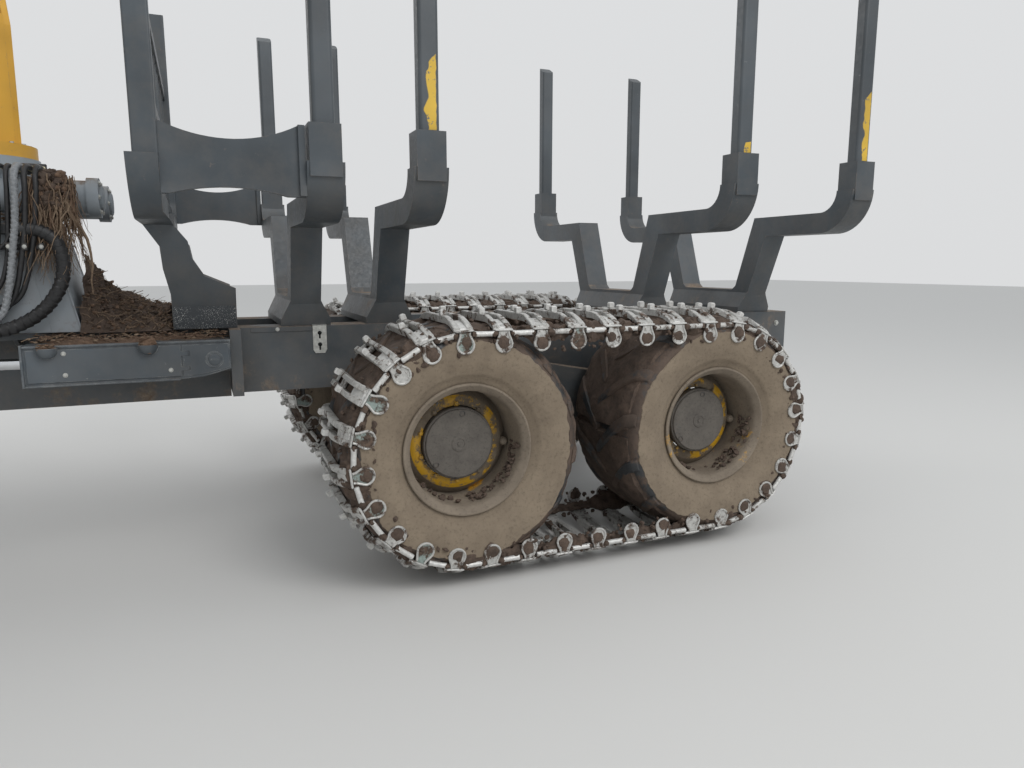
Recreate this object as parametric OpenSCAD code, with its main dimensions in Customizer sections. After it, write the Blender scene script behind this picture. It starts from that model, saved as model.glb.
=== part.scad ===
// Forestry forwarder: an articulated eight-wheel timber carrier with a loading crane.
// Millimetres. +X points forward, +Y to the machine's left, +Z up, Z = 0 is the ground.
// Modules are drawn in the machine frame: X from the articulation joint, Y from the mid plane.

/* [Overall] */
// Joint to the face of the front bumper
front_reach = 4100; // [4000:10:4300]
// Joint to the end of the rear tow bracket
rear_reach = 6400; // [6350:10:6800]
// Distance of the mid plane from the row's origin, set by the crane's side reach
mid_plane_y = 1150; // [900:10:1400]

/* [Wheels] */
// Radius of the tyre's tread
tyre_r = 672.5; // [640:2.5:700]
// Width of the tyre
tyre_w = 710; // [600:10:720]
// Distance of the tyre's middle from the mid plane
wheel_y = 1120; // [1110:5:1160]
// Radius of the rim's barrel under the tyre
rim_r = 330; // [300:5:345]
// Radius of the rim's outer lip
lip_r = 362; // [355:1:380]
// Radius of the hub cover
hub_r = 203; // [180:1:215]
// Height of a tread lug
lug_h = 34; // [20:1:45]
// Lugs on one half of a tyre
lug_n = 14; // [10:1:20]
// Front axle places ahead of the joint
front_axle_1 = 1200; // [1200:10:1260]
// Wheel spacing of a front bogie
front_pitch = 1500; // [1480:10:1560]
// Rear bogie's first axle behind the joint
rear_axle_1 = 3300; // [3250:10:3400]
// Wheel spacing of a rear bogie
rear_pitch = 1600; // [1560:10:1640]

/* [Bogie tracks] */
// Height of shoe and stud below the tyre
shoe_h = 75; // [60:1:90]
// Shoes on one track
shoe_n = 34; // [28:2:38]
// Length of a shoe across the tyre
shoe_l = 740; // [700:5:750]
// Width of a shoe along the track
shoe_w = 95; // [70:1:110]

/* [Rear frame] */
// Top of the frame
frame_top = 1360; // [1340:5:1380]
// Underside of the bunk beams
beam_low = 980; // [960:5:1000]
// Outer face of the bunk beams from the mid plane
beam_y = 470; // [440:5:480]
// Half width of the narrow neck under the crane
neck_y = 270; // [250:5:280]
// Bore of the rear tow bracket
tow_r = 20; // [15:1:25]

/* [Load bunk] */
// First stake behind the joint
first_stake = 2610; // [2600:5:2640]
// Spacing of the two front stakes
front_spacing = 510; // [480:5:540]
// Spacing of the two rear stakes
rear_spacing = 930; // [900:10:960]
// Last stake ahead of the tow bracket's end
last_stake_in = 420; // [400:5:450]
// Load gate post behind the joint
gate_x = 1850; // [1800:10:1880]
// Stake middle from the mid plane
stake_y = 1360; // [1330:5:1370]
// Stake section along X
stake_l = 105; // [90:1:110]
// Stake section along Y
stake_t = 84; // [70:1:88]
// Height of the stakes' tops
stake_top = 3480; // [3300:10:3520]
// Underside of the bolster arms
arm_low = 1930; // [1900:5:1960]
// Thickness of the bolster arms
arm_t = 135; // [110:1:140]

/* [Joint and steering] */
// Height of the roll bearing's middle
roll_z = 1100; // [1080:5:1110]
// Radius of the roll bearing's tube
roll_r = 170; // [160:1:172]
// Radius of the vertical joint pin
joint_pin_r = 60; // [50:1:70]
// Steering rod's eye from the mid plane
steer_arm_y = 420; // [400:5:430]
// Steering barrel's pin from the mid plane
steer_pin_y = 520; // [500:5:540]
// Steering barrel's pin behind the joint
steer_pin_x = 2100; // [2080:10:2120]
// Height of the steering cylinders
steer_z = 1205; // [1195:5:1210]
// Radius of the steering cylinders' pins
steer_pin_r = 25; // [20:1:28]

/* [Cab] */
// Cab rear wall ahead of the joint
cab_back = 650; // [640:10:700]
// Cab length
cab_l = 1750; // [1700:10:1780]
// Half width of the cab
cab_y = 800; // [760:5:820]
// Height of the cab floor's underside
cab_low = 1720; // [1700:5:1740]
// Height of the roof
cab_top = 3700; // [3600:10:3750]
// Thickness of the cab walls
wall = 40; // [30:1:50]

/* [Bonnet] */
// Half width of the bonnet
bonnet_y = 720; // [680:5:730]
// Bonnet top at the cab
bonnet_top = 2230; // [2150:5:2280]
// Bonnet underside
bonnet_low = 1330; // [1320:5:1350]
// Thickness of the bonnet's panels
skin = 12; // [8:1:20]

/* [Crane] */
// Crane pillar behind the joint
pillar_x = 950; // [940:5:980]
// Direction of the crane at rest, from straight ahead
crane_turn = -50; // [-55:1:-45]
// Height of the main boom's pivot
boom_z = 3300; // [3280:5:3320]
// Main boom length between pins
main_l = 3700; // [3600:10:3720]
// Main boom angle at rest
main_a = 62; // [60:1:64]
// Outer boom length, knuckle to tip, telescope in
outer_l = 3000; // [2900:10:3020]
// Outer boom angle at rest
outer_a = -27; // [-28:1:-25]
// Width of the booms
boom_w = 170; // [150:2:176]

/* [Grapple] */
// Jaw radius
jaw_r = 500; // [460:5:510]
// Thickness of a jaw tine
tine_t = 36; // [25:1:40]

/* [Hidden] */
$fn = 48;

// Small gap between pieces that touch on the real machine
seat = 0.3;
// Radial clearance of a pin or shaft in its bore
run = 0.1;
joint_x = (rear_reach - front_reach) / 2;
stake_places = [first_stake, first_stake + front_spacing, rear_reach - last_stake_in - rear_spacing,
                rear_reach - last_stake_in];
front_wheel_z = tyre_r;
rear_wheel_z = tyre_r + shoe_h;
pivot_lift = 100;
front_pivot_x = front_axle_1 + front_pitch / 2;
rear_pivot_x = -rear_axle_1 - rear_pitch / 2;
spigot_r = 150;
spigot_end = 735;
axle_r = 170;
axle_end = 505;
stub_r = 150;
lip_y = wheel_y + 310;

charcoal = [0.20, 0.23, 0.26];
ochre = [0.82, 0.60, 0.10];
dark = [0.10, 0.10, 0.11];
steel = [0.60, 0.61, 0.62];
grey = [0.45, 0.47, 0.48];

module machine() translate([joint_x, mid_plane_y, 0]) children();
// A profile in Y and Z, thick along X from x0
module yz(x0, t) translate([x0, 0, 0]) rotate([90, 0, 90]) linear_extrude(t) children();
// A profile in X and Z, thick along Y from y0
module xz(y0, t) translate([0, y0 + t, 0]) rotate([90, 0, 0]) linear_extrude(t) children();
// A cylinder along Y from y0
module ycyl(x, z, y0, l, r) translate([x, y0 + l, z]) rotate([90, 0, 0]) cylinder(r=r, h=l);
// A cylinder along X from x0
module xcyl(x0, y, z, l, r) translate([x0, y, z]) rotate([0, 90, 0]) cylinder(r=r, h=l);
module box(lo, hi) translate(lo) cube(hi - lo);
module both() {
  children();
  mirror([0, 1, 0]) children();
}
module rounded(a, b, r) {
  square([a - 2 * r, b], center=true);
  square([a, b - 2 * r], center=true);
  for (i = [-1, 1], j = [-1, 1]) translate([i * (a / 2 - r), j * (b / 2 - r)]) circle(r);
}

// Rear frame
neck_end = -450;
neck_low = 930;
wall_x = -2230;
fork_r = 200;
bracket_l = 110;
cross_t = 90;
gusset_places = [-1120, -780];
// Steering cylinder's lug plates, from the cylinder's height
lug_in = 58;
lug_t = 18;
module rear_frame() color(charcoal) machine() {
  beam_end = -rear_reach + bracket_l;
  difference() {
    union() {
      // Bunk beams, cross plates and neck
      both() box([beam_end, beam_y - 210, beam_low], [wall_x, beam_y, frame_top]);
      for (x = [beam_end, -stake_places[2] - cross_t, rear_pivot_x + 480, -stake_places[1] - 80])
        box([x, -beam_y + 1, beam_low + 20], [x + cross_t, beam_y - 1, frame_top - 20]);
      box([wall_x, -600, beam_low], [wall_x + 60, 600, frame_top]);
      box([wall_x + 59, -neck_y, neck_low], [neck_end, neck_y, frame_top]);
      // Fork that holds the vertical joint pin
      for (z = [840, 1300]) translate([0, 0, z]) linear_extrude(80) {
        circle(fork_r);
        translate([neck_end - 10, -fork_r]) square([-neck_end + 10, 2 * fork_r]);
      }
      box([neck_end - 200, -fork_r, 840], [neck_end - 0.5, fork_r, neck_low + 5]);
      // Crane seat ring and its gussets
      translate([-pillar_x, 0, frame_top - 30]) cylinder(r=480, h=30);
      for (x = gusset_places) both() yz(x, 20)
        polygon([[neck_y - 1, frame_top - 29], [430, frame_top - 29], [neck_y - 1, 1245]]);
      // Bogie axle housing and its spigots
      ycyl(rear_pivot_x, rear_wheel_z + pivot_lift, -axle_end, 2 * axle_end, axle_r);
      ycyl(rear_pivot_x, rear_wheel_z + pivot_lift, -spigot_end, 2 * spigot_end, spigot_r);
      // Steering barrel lugs with their pins
      both() {
        for (z = [steer_z - lug_in - lug_t, steer_z + lug_in]) translate([0, 0, z]) linear_extrude(lug_t) {
          translate([-steer_pin_x, steer_pin_y]) circle(62);
          translate([wall_x + 50, steer_pin_y - 62]) square([-steer_pin_x - wall_x - 50, 124]);
        }
        translate([-steer_pin_x, steer_pin_y, steer_z - lug_in - lug_t])
          cylinder(r=steer_pin_r, h=2 * (lug_in + lug_t));
      }
      // Rear tow bracket
      for (z = [1040, 1180]) translate([-rear_reach, 0, z]) linear_extrude(30) {
        translate([60, 0]) circle(60);
        translate([60, -60]) square([bracket_l - 59, 120]);
      }
    }
    translate([0, 0, 800]) cylinder(r=joint_pin_r + run, h=700);
    translate([-rear_reach + 60, 0, 1000]) cylinder(r=tow_r, h=300);
  }
}

// Bolster outline, left half, in Y and Z: cross beam, leaning leg, arm and upturned end
bend_y = 1160;
bend_r = stake_y + arm_t / 2 - bend_y;
bend_z = arm_low + bend_r;
module bolster_outline(mid=true) {
  if (mid) translate([-1, frame_top + seat]) square([350, 170]);
  polygon([[300, frame_top + seat], [450, frame_top + seat], [475, 1490], [650, arm_low + 1],
           [650, arm_low + arm_t - 1], [520, arm_low + arm_t - 1], [340, 1560], [300, 1530]]);
  translate([519, arm_low]) square([bend_y - 518, arm_t]);
  intersection() {
    difference() {
      translate([bend_y, bend_z]) circle(bend_r, $fn=96);
      translate([bend_y, bend_z]) circle(bend_r - arm_t, $fn=96);
    }
    translate([bend_y, arm_low - 10]) square([400, bend_z - arm_low + 10]);
  }
}
socket_low = 2130;
socket_high = 2370;
socket_l = 150;
foot_l = 290;
leg_l = 176;
module bolster(x) {
  difference() {
    union() {
      intersection() {
        both() yz(-x - foot_l / 2, foot_l) bolster_outline();
        xz(-span_y, 2 * span_y) polygon([[-x - foot_l / 2, 1300], [-x + foot_l / 2, 1300],
          [-x + foot_l / 2, frame_top + 40], [-x + leg_l / 2, frame_top + 150], [-x + leg_l / 2, 2400],
          [-x - leg_l / 2, 2400], [-x - leg_l / 2, frame_top + 150], [-x - foot_l / 2, frame_top + 40]]);
      }
      both() box([-x - socket_l / 2, stake_y - 72, socket_low],
        [-x + socket_l / 2, stake_y + 72, socket_high]);
    }
    both() translate([-x, stake_y, socket_low + 20]) linear_extrude(400)
      rounded(stake_l + 2 * seat, stake_t + 2 * seat, 20);
  }
}
module bolsters() color(charcoal) machine() for (x = stake_places) bolster(x);

module stakes() color(charcoal) machine() for (x = stake_places) both()
  difference() {
    translate([-x, stake_y, socket_low + 20 + seat])
      linear_extrude(stake_top - socket_low - 20 - seat) rounded(stake_l, stake_t, 20);
    // Slanted top
    translate([-x, stake_y + stake_t / 2, stake_top]) rotate([30, 0, 0])
      translate([-100, -300, 0]) cube([200, 400, 100]);
  }

// Load gate: a bolster of its own carries the posts, and side plates join them to the first stakes
gate_post_l = 105;
gate_post_t = 70;
grid_top = 3000;
rail_t = 60;
bar_t = 24;
bar_gap = 215;
span_y = 1600;
module gate_foot() color(charcoal) machine() intersection() {
  both() yz(-gate_x - 380, 480) bolster_outline();
  xz(-span_y, 2 * span_y) translate([-gate_x, 0]) polygon([[-370, 1300], [-30, 1300], [-30, 1560], [-2, 1700],
    [5, 1820], [75, arm_low], [80, 2200], [-50, 2200], [-50, 1960], [-135, 1850], [-150, 1760], [-210, 1660],
    [-370, 1590]]);
}
module load_gate() color(charcoal) machine() {
  plate_back = -stake_places[0] + leg_l / 2 + seat;
  plate_mid = (plate_back - gate_x) / 2;
  post_low = bend_z + seat;
  both() {
    translate([-gate_x, stake_y, post_low]) linear_extrude(stake_top + rail_t - post_low)
      rounded(gate_post_l, gate_post_t, 10);
    // Side plate with a hollowed upper and lower edge, and the strip at its rear end
    xz(stake_y - 22, 44) difference() {
      translate([plate_back, 2035]) square([-gate_x - plate_back, 325]);
      translate([plate_mid, 2340 + 600]) circle(660, $fn=96);
      translate([plate_mid, 2040 - 900]) circle(930, $fn=96);
      translate([-gate_x - 50 - seat, 2000]) square([100, post_low - 2000]);
    }
    xz(stake_y - 40, 80) translate([plate_back, 2040]) square([30, 318]);
  }
  // Grid on rails
  for (z = [2500, grid_top - rail_t])
    box([-gate_x - 25, -stake_y, z], [-gate_x + 25, stake_y, z + rail_t]);
  box([-gate_x - 25, -bend_y, arm_low + arm_t + seat], [-gate_x + 25, bend_y, arm_low + arm_t + rail_t]);
  for (k = [-5 : 5]) box([-gate_x - 15, k * bar_gap - bar_t / 2, arm_low + arm_t + 10],
    [-gate_x + 15, k * bar_gap + bar_t / 2, grid_top - 10]);
}

// Guards along the neck that cover the steering cylinders
guard_front = -1170;
guard_taper = -1950;
guard_y = 660;
guard_low = 1100;
guard_top = 1312;
module side_boxes() color(charcoal) machine() both() {
  back = wall_x + 60 + seat;
  difference() {
    translate([0, 0, guard_low]) linear_extrude(guard_top - guard_low)
      polygon([[guard_front, neck_y + seat], [guard_front, guard_y], [guard_taper, guard_y], [back, 620],
        [back, neck_y + seat]]);
    // Open underneath and towards the neck
    translate([0, 0, guard_low - 1]) linear_extrude(guard_top - guard_low - 19)
      polygon([[guard_front - 20, neck_y - 1], [guard_front - 20, guard_y - 20],
        [guard_taper - 3, guard_y - 20], [back - 1, 600], [back - 1, neck_y - 1]]);
    // Way out of the cylinder through the end plate
    box([guard_front - 30, neck_y - 1, guard_low - 1], [guard_front + 1, guard_y - 60, guard_top - 20]);
  }
  // Round cover over the barrel's pin and two cups at the top edge
  ycyl(guard_taper + 40, 1190, guard_y - 1, 14, 42);
  for (x = [guard_front - 90, guard_front - 560]) difference() {
    translate([x, guard_y - 30, guard_top - 12]) cylinder(r=62, h=34);
    translate([x, guard_y - 30, guard_top + 4]) cylinder(r=52, h=40);
  }
}

// Plate-built pedestal and the fixed slewing housing
base_top = 1900;
slew_z = 2300;
module crane_base() color(grey) machine() translate([-pillar_x, 0, 0]) {
  intersection() {
    xz(-500, 1000)
      polygon([[-470, frame_top + seat], [470, frame_top + seat], [350, base_top], [-350, base_top]]);
    yz(-500, 1000)
      polygon([[-400, frame_top + seat], [400, frame_top + seat], [330, base_top], [-330, base_top]]);
  }
  translate([0, 0, base_top - 1]) cylinder(r=370, h=50);
  translate([0, 0, base_top]) cylinder(r=290, h=slew_z - base_top);
  // Slewing cylinders on both sides of the housing
  both() {
    xcyl(-560, 235, 2090, 1120, 92);
    for (x = [-600, 540]) xcyl(x, 235, 2090, 60, 108);
  }
}

// Hydraulic hoses on the left of the pedestal: down through a clamp, round a bend, forward to a
// bulkhead plate. Columns: bend radius, hose radius
hose_table = [[110, 16], [150, 16], [190, 16], [230, 16], [290, 36]];
hose_x = 90;
hose_y = 445;
hose_z = 1720;
clamp_z = 1800;
module crane_hoses() color(dark) machine() translate([-pillar_x, 0, 0]) {
  for (h = hose_table) {
    translate([hose_x - h[0], hose_y, hose_z]) cylinder(r=h[1], h=160);
    translate([hose_x, hose_y, hose_z]) rotate([-90, 0, 0]) rotate([0, 0, 90])
      rotate_extrude(angle=90) translate([h[0], 0]) circle(h[1]);
  }
  box([hose_x, hose_y - 40, frame_top + seat], [hose_x + 20, hose_y + 40, hose_z - 60]);
  box([hose_x - 340, 400 - 70 * (clamp_z - frame_top) / (base_top - frame_top) + seat, clamp_z],
    [hose_x - 90, hose_y + 45, clamp_z + 30]);
  box([hose_x - 340, hose_y - 40, 1879], [hose_x - 90, hose_y + 45, 1940]);
}

// Casting that steers about Z and carries the roll tube
steer_arm_x = 50;
steer_slot = 72;
arm_plate_t = 26;
module center_joint() color(charcoal) machine() {
  translate([0, 0, 925]) cylinder(r=165, h=370);
  xcyl(100, 0, roll_z, 500, roll_r - run);
  // Steering arms: two plates a side with the rod's eye between them, and the ends of its pin
  translate([0, 0, steer_z]) for (m = [0, 1]) mirror([0, 0, m]) {
    translate([0, 0, steer_slot / 2]) linear_extrude(arm_plate_t) {
      polygon([[-90, -120], [60, -120], [110, -steer_arm_y], [-10, -steer_arm_y - 20],
        [-10, steer_arm_y + 20], [110, steer_arm_y], [60, 120], [-90, 120]]);
      for (s = [-1, 1]) translate([steer_arm_x, s * steer_arm_y]) circle(72);
    }
    for (s = [-1, 1]) translate([steer_arm_x, s * steer_arm_y, steer_slot / 2 + arm_plate_t - 1])
      cylinder(r=steer_pin_r, h=13);
  }
  translate([0, 0, 822]) cylinder(r=joint_pin_r, h=576);
  translate([0, 0, 1385]) cylinder(r=85, h=25);
  translate([0, 0, 810]) cylinder(r=85, h=25);
}

// Steering cylinders: barrel pinned in the rear frame, eye between the casting's plates
steer_dx = steer_pin_x + steer_arm_x;
steer_len = sqrt(steer_dx * steer_dx + pow(steer_pin_y - steer_arm_y, 2));
steer_a = atan2(steer_arm_y - steer_pin_y, steer_dx);
steer_barrel_l_mm = 870;
steer_rod_len = 1700;
module steer_axis(s) machine() mirror([0, s, 0]) translate([-steer_pin_x, steer_pin_y, steer_z])
  rotate([0, 0, steer_a]) children();
module barrel(len, r, bore, rod_r, eye_r, eye_t, pin_r) difference() {
  union() {
    rotate([0, 90, 0]) translate([0, 0, 40]) cylinder(r=r, h=len - 40);
    translate([0, 0, -eye_t / 2]) cylinder(r=eye_r, h=eye_t);
    rotate([0, 90, 0]) translate([0, 0, len - 1]) cylinder(r=r + 8, h=60);
  }
  rotate([0, 90, 0]) translate([0, 0, eye_r + 25]) cylinder(r=bore, h=len - eye_r - 40);
  rotate([0, 90, 0]) translate([0, 0, len - 20]) cylinder(r=rod_r + run, h=100);
  translate([0, 0, -eye_t]) cylinder(r=pin_r + run, h=2 * eye_t);
}
// The eye fills the slot between its plates. They carry the ends of its pin as bosses
module rod(len, rod_len, r, eye_r, slot_w) {
  rotate([0, 90, 0]) translate([0, 0, len - rod_len]) cylinder(r=r, h=rod_len - eye_r / 2);
  translate([len, 0, seat - slot_w / 2]) cylinder(r=eye_r, h=slot_w - 2 * seat);
}
module steer_barrel(s) color(dark) steer_axis(s) barrel(steer_barrel_l_mm, 52, 38, 30, 58, 110, steer_pin_r);
module steer_rod(s) color(steel) steer_axis(s) rod(steer_len, steer_rod_len, 30, 58, steer_slot);
module steer_barrel_l() steer_barrel(0);
module steer_barrel_r() steer_barrel(1);
module steer_rod_l() steer_rod(0);
module steer_rod_r() steer_rod(1);

// Bonnet hinge
hood_x = front_reach - 170;
hood_z = 1350;
// Front frame with the roll bearing's housing and the bumper
module front_frame() color(charcoal) machine() {
  frame_front = front_reach - 160;
  difference() {
    union() {
      xcyl(340, 0, roll_z, 240, 275);
      box([560, -400, 880], [640, 400, 1300]);
      both() box([639, 215, 900], [frame_front, 400, 1290]);
      for (x = [1750, 2500, 3300]) box([x, -216, 920], [x + 80, 216, 1270]);
      // Bumper with bent ends
      box([frame_front - 1, -520, 850], [frame_front + 40, 520, 1300]);
      translate([0, 0, 780]) linear_extrude(500) polygon([[front_reach - 120, -560], [front_reach, -560],
        [front_reach, 560], [front_reach - 120, 560]]);
      // Cab and bonnet carriers
      both() box([cab_back + 40, 300, 1289], [cab_back + 120, 560, cab_low - seat]);
      both() box([2180, 300, 1289], [2260, 560, cab_low - seat]);
      // Bonnet's hinge ears with their pins
      both() {
        box([hood_x - 15, 300, 1299], [hood_x + 15, 330, hood_z]);
        ycyl(hood_x, hood_z, 300, 30, 22);
        ycyl(hood_x, hood_z, 265, 64, 12);
      }
    }
    xcyl(300, 0, roll_z, 400, roll_r);
    // Saddle for the bogie axle
    ycyl(front_pivot_x, front_wheel_z + pivot_lift, -500, 1000, axle_r + seat);
    // Front tow bore
    translate([front_reach - 60, 0, 700]) cylinder(r=tow_r, h=700);
  }
}

module front_axle() color(charcoal) machine() {
  ycyl(front_pivot_x, front_wheel_z + pivot_lift, -axle_end, 2 * axle_end, axle_r);
  ycyl(front_pivot_x, front_wheel_z + pivot_lift, -spigot_end, 2 * spigot_end, spigot_r);
}

engine_top = 1850;
module engine_block() color(dark) machine()
  box([bonnet_back + 160, -300, 1290 + seat], [bonnet_front - 320, 300, engine_top]);

// Cab
cab_front = cab_back + cab_l;
corner = 130;
sill_z = 2180;
head_z = 3480;
pane_half = cab_y - corner - 60;
door_x0 = cab_back + 480;
door_x1 = cab_front - 240;
door_low = cab_low + 90;
door_gap = 6;
door_hinge_x = door_x1 - door_gap - 14;
door_hinge_y = cab_y + 12;
hinge_places = [cab_low + 300, head_z - 200];
hinge_l = 120;
module cab_plan(inset=0) translate([cab_back + cab_l / 2, 0])
  rounded(cab_l - 2 * inset, 2 * (cab_y - inset), corner - inset);
module cab_shell() color(ochre) machine() {
  // Door hinge brackets over and under the door's knuckles
  for (z = hinge_places, e = [-14 - seat, hinge_l + seat]) translate([0, 0, z + e]) {
    translate([door_hinge_x, door_hinge_y, 0]) cylinder(r=10, h=14);
    box([door_hinge_x, door_hinge_y - 11, 0], [door_hinge_x + 25, door_hinge_y + 8, 14]);
    box([door_x1 + 1, cab_y - 5, 0], [door_x1 + 30, door_hinge_y + 8, 14]);
  }
  difference() {
    union() {
      translate([0, 0, cab_low]) linear_extrude(cab_top - cab_low - 60) cab_plan();
      // Roof cap with a small overhang
      translate([0, 0, cab_top - 120]) linear_extrude(120) cab_plan(-30);
    }
    translate([0, 0, cab_low + wall]) linear_extrude(cab_top - cab_low - 160) cab_plan(wall);
    // Windows: rear, front, right side and the door's opening
    box([cab_back - 100, -pane_half, sill_z + 100], [cab_back + wall + 60, pane_half, head_z]);
    box([cab_front - wall - 60, -pane_half, sill_z], [cab_front + 100, pane_half, head_z]);
    box([cab_back + 200, -cab_y - 50, sill_z + 100], [cab_front - 200, -cab_y + wall + 10, head_z]);
    box([door_x0, cab_y - wall - 10, door_low], [door_x1, cab_y + 50, head_z + 60]);
    box([cab_back + 170, cab_y - wall - 10, sill_z + 150], [door_x0 - 60, cab_y + 50, head_z]);
  }
}
glass_t = 8;
module pane_x(x, y0, y1, z0, z1) box([x, y0 + seat, z0 + seat], [x + glass_t, y1 - seat, z1 - seat]);
module pane_y(y, x0, x1, z0, z1) box([x0 + seat, y, z0 + seat], [x1 - seat, y + glass_t, z1 - seat]);
module cab_glass() color([0.6, 0.7, 0.75, 0.35]) machine() {
  pane_x(cab_back + 10, -pane_half, pane_half, sill_z + 100, head_z);
  pane_x(cab_front - 20, -pane_half, pane_half, sill_z, head_z);
  pane_y(-cab_y + 10, cab_back + 200, cab_front - 200, sill_z + 100, head_z);
  pane_y(cab_y - 20, cab_back + 170, door_x0 - 60, sill_z + 150, head_z);
}
module cab_seat() color(dark) machine() translate([cab_back + 700, 0, cab_low + wall + seat]) {
  box([-150, -150, 0], [150, 150, 330]);
  box([-250, -260, 330 - 1], [270, 260, 450]);
  box([-330, -240, 400], [-200, 240, 1050]);
  both() box([-180, 280, 300], [260, 380, 600]);
  both() box([-60, 255, 380], [60, 300, 440]);
}
// Door on the left side, hinged at its front edge
module door_outline(inset) translate([door_x0 + door_gap + inset, door_low + door_gap + inset])
  square([door_x1 - door_x0 - 2 * (door_gap + inset), head_z + 60 - door_low - 2 * (door_gap + inset)]);
module cab_door() color(ochre) machine() {
  difference() {
    xz(cab_y - wall, wall) door_outline(0);
    box([door_x0 + 90, cab_y - wall - 10, sill_z - 60], [door_x1 - 90, cab_y + 10, head_z - 40]);
  }
  for (z = hinge_places) translate([door_hinge_x, door_hinge_y, z]) cylinder(r=14, h=hinge_l);
  box([door_x0 + 40, cab_y - 1, sill_z - 180], [door_x0 + 70, cab_y + 30, sill_z + 60]);
}
module door_glass() color([0.6, 0.7, 0.75, 0.35]) machine()
  pane_y(cab_y - 24, door_x0 + 90, door_x1 - 90, sill_z - 60, head_z - 40);

// Mudguards over the front bogies, steps and hand rail
guard_z = 1600;
module fenders() color(charcoal) machine() {
  for (s = [0, 1]) mirror([0, s, 0]) {
    box([cab_back + 60, 560 + seat, guard_z + 30], [cab_front, 800, guard_z + 60]);
    // Top plate with sloping ends and a turned-down outer edge
    for (e = [[799, 602, 30], [1400, 20, 90]]) xz(e[0], e[1]) polygon([
      [cab_back - 60, guard_z + 60], [cab_front + 900, guard_z + 60], [cab_front + 1020, guard_z - 80],
      [cab_front + 1010 - e[2] / 2, guard_z - 50 - e[2]], [cab_front + 892 - e[2] / 4, guard_z + 60 - e[2]],
      [cab_back - 52 + e[2] / 4, guard_z + 60 - e[2]], [cab_back - 160 + e[2] / 2, guard_z - 50 - e[2]],
      [cab_back - 170, guard_z - 80]]);
  }
  // Steps on the left, behind the rear wheel of the bogie
  for (k = [0 : 2]) box([cab_back - 360, 900, 800 + 330 * k], [cab_back - 180, 1340, 830 + 330 * k]);
  for (y = [880, 1340]) box([cab_back - 360, y, 780], [cab_back - 180, y + 20, guard_z + 60]);
  box([cab_back - 360, 880, guard_z + 30], [cab_back - 59, 1360, guard_z + 60]);
}

// Bonnet: sloped hood with side panels, open underneath, hinged at its front edge
bonnet_back = cab_front + 40;
bonnet_front = front_reach - 130;
nose_top = 1900;
nose_r = 140;
// Side view and plan of the hood. inset is 0 outside and the skin inside, where it reaches below the edge
module bonnet_form(inset) {
  low = bonnet_low - (inset > 0 ? 10 : 0);
  r = nose_r - inset;
  intersection() {
    xz(-bonnet_y + inset, 2 * (bonnet_y - inset)) polygon([[bonnet_back + inset, low],
      [bonnet_front - inset, low], [bonnet_front - inset, nose_top - 160],
      [bonnet_front - 130 - inset / 2, nose_top - inset], [bonnet_back + inset, bonnet_top - inset]]);
    translate([0, 0, low - 5]) linear_extrude(bonnet_top - low + 20) {
      translate([bonnet_back - 50, inset - bonnet_y])
        square([bonnet_front - inset - r - bonnet_back + 50, 2 * (bonnet_y - inset)]);
      translate([bonnet_back - 50, inset - bonnet_y + r])
        square([bonnet_front - inset - bonnet_back + 50, 2 * (bonnet_y - inset - r)]);
      for (s = [-1, 1]) translate([bonnet_front - inset - r, s * (bonnet_y - inset - r)]) circle(r);
    }
  }
}
module bonnet() color(ochre) machine() {
  // Hinge plates inside the nose
  both() difference() {
    xz(270, 26) {
      translate([hood_x, hood_z]) circle(22);
      polygon([[hood_x - 22, hood_z], [hood_x + 22, hood_z], [bonnet_front - skin + 2, bonnet_low + 92],
        [bonnet_front - skin + 2, bonnet_low + 109], [hood_x - 10, bonnet_low + 90]]);
    }
    ycyl(hood_x, hood_z, 200, 200, 12 + run);
  }
  difference() {
    union() {
      bonnet_form(0);
      // Exhaust pipe
      translate([bonnet_back + 250, -450, bonnet_top - 150]) cylinder(r=60, h=900);
    }
    translate([bonnet_back + 250, -450, bonnet_top + 300]) cylinder(r=50, h=500);
    bonnet_form(skin);
    // Notches in the lower edge round the hinge ears
    both() box([bonnet_front - 30, 255, bonnet_low - 20], [bonnet_front + 10, 345, bonnet_low + 90]);
    // Grille slots in the nose and the sides
    for (k = [0 : 4]) box([bonnet_front - 40, -420, 1440 + 55 * k], [bonnet_front + 10, 420, 1470 + 55 * k]);
    for (k = [0 : 6]) both()
      box([bonnet_front - 900 + 70 * k, bonnet_y - 30, 1480],
        [bonnet_front - 870 + 70 * k, bonnet_y + 10, 1760]);
  }
}

module lamp(x, y, z, turn) translate([x, y, z]) rotate([0, 0, turn]) {
  rotate([0, 90, 0]) translate([0, 0, -45]) cylinder(r1=45, r2=70, h=90);
  box([-20, -15, -90], [20, 15, 0]);
}
module work_lights() color(dark) machine() {
  for (y = [-600, -360, 360, 600]) {
    lamp(cab_front - 80, y, cab_top + 90 + seat, 0);
    lamp(cab_back + 80, y, cab_top + 90 + seat, 180);
  }
  translate([cab_front - 500, 500, cab_top + seat]) cylinder(r=55, h=130);
}

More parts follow.
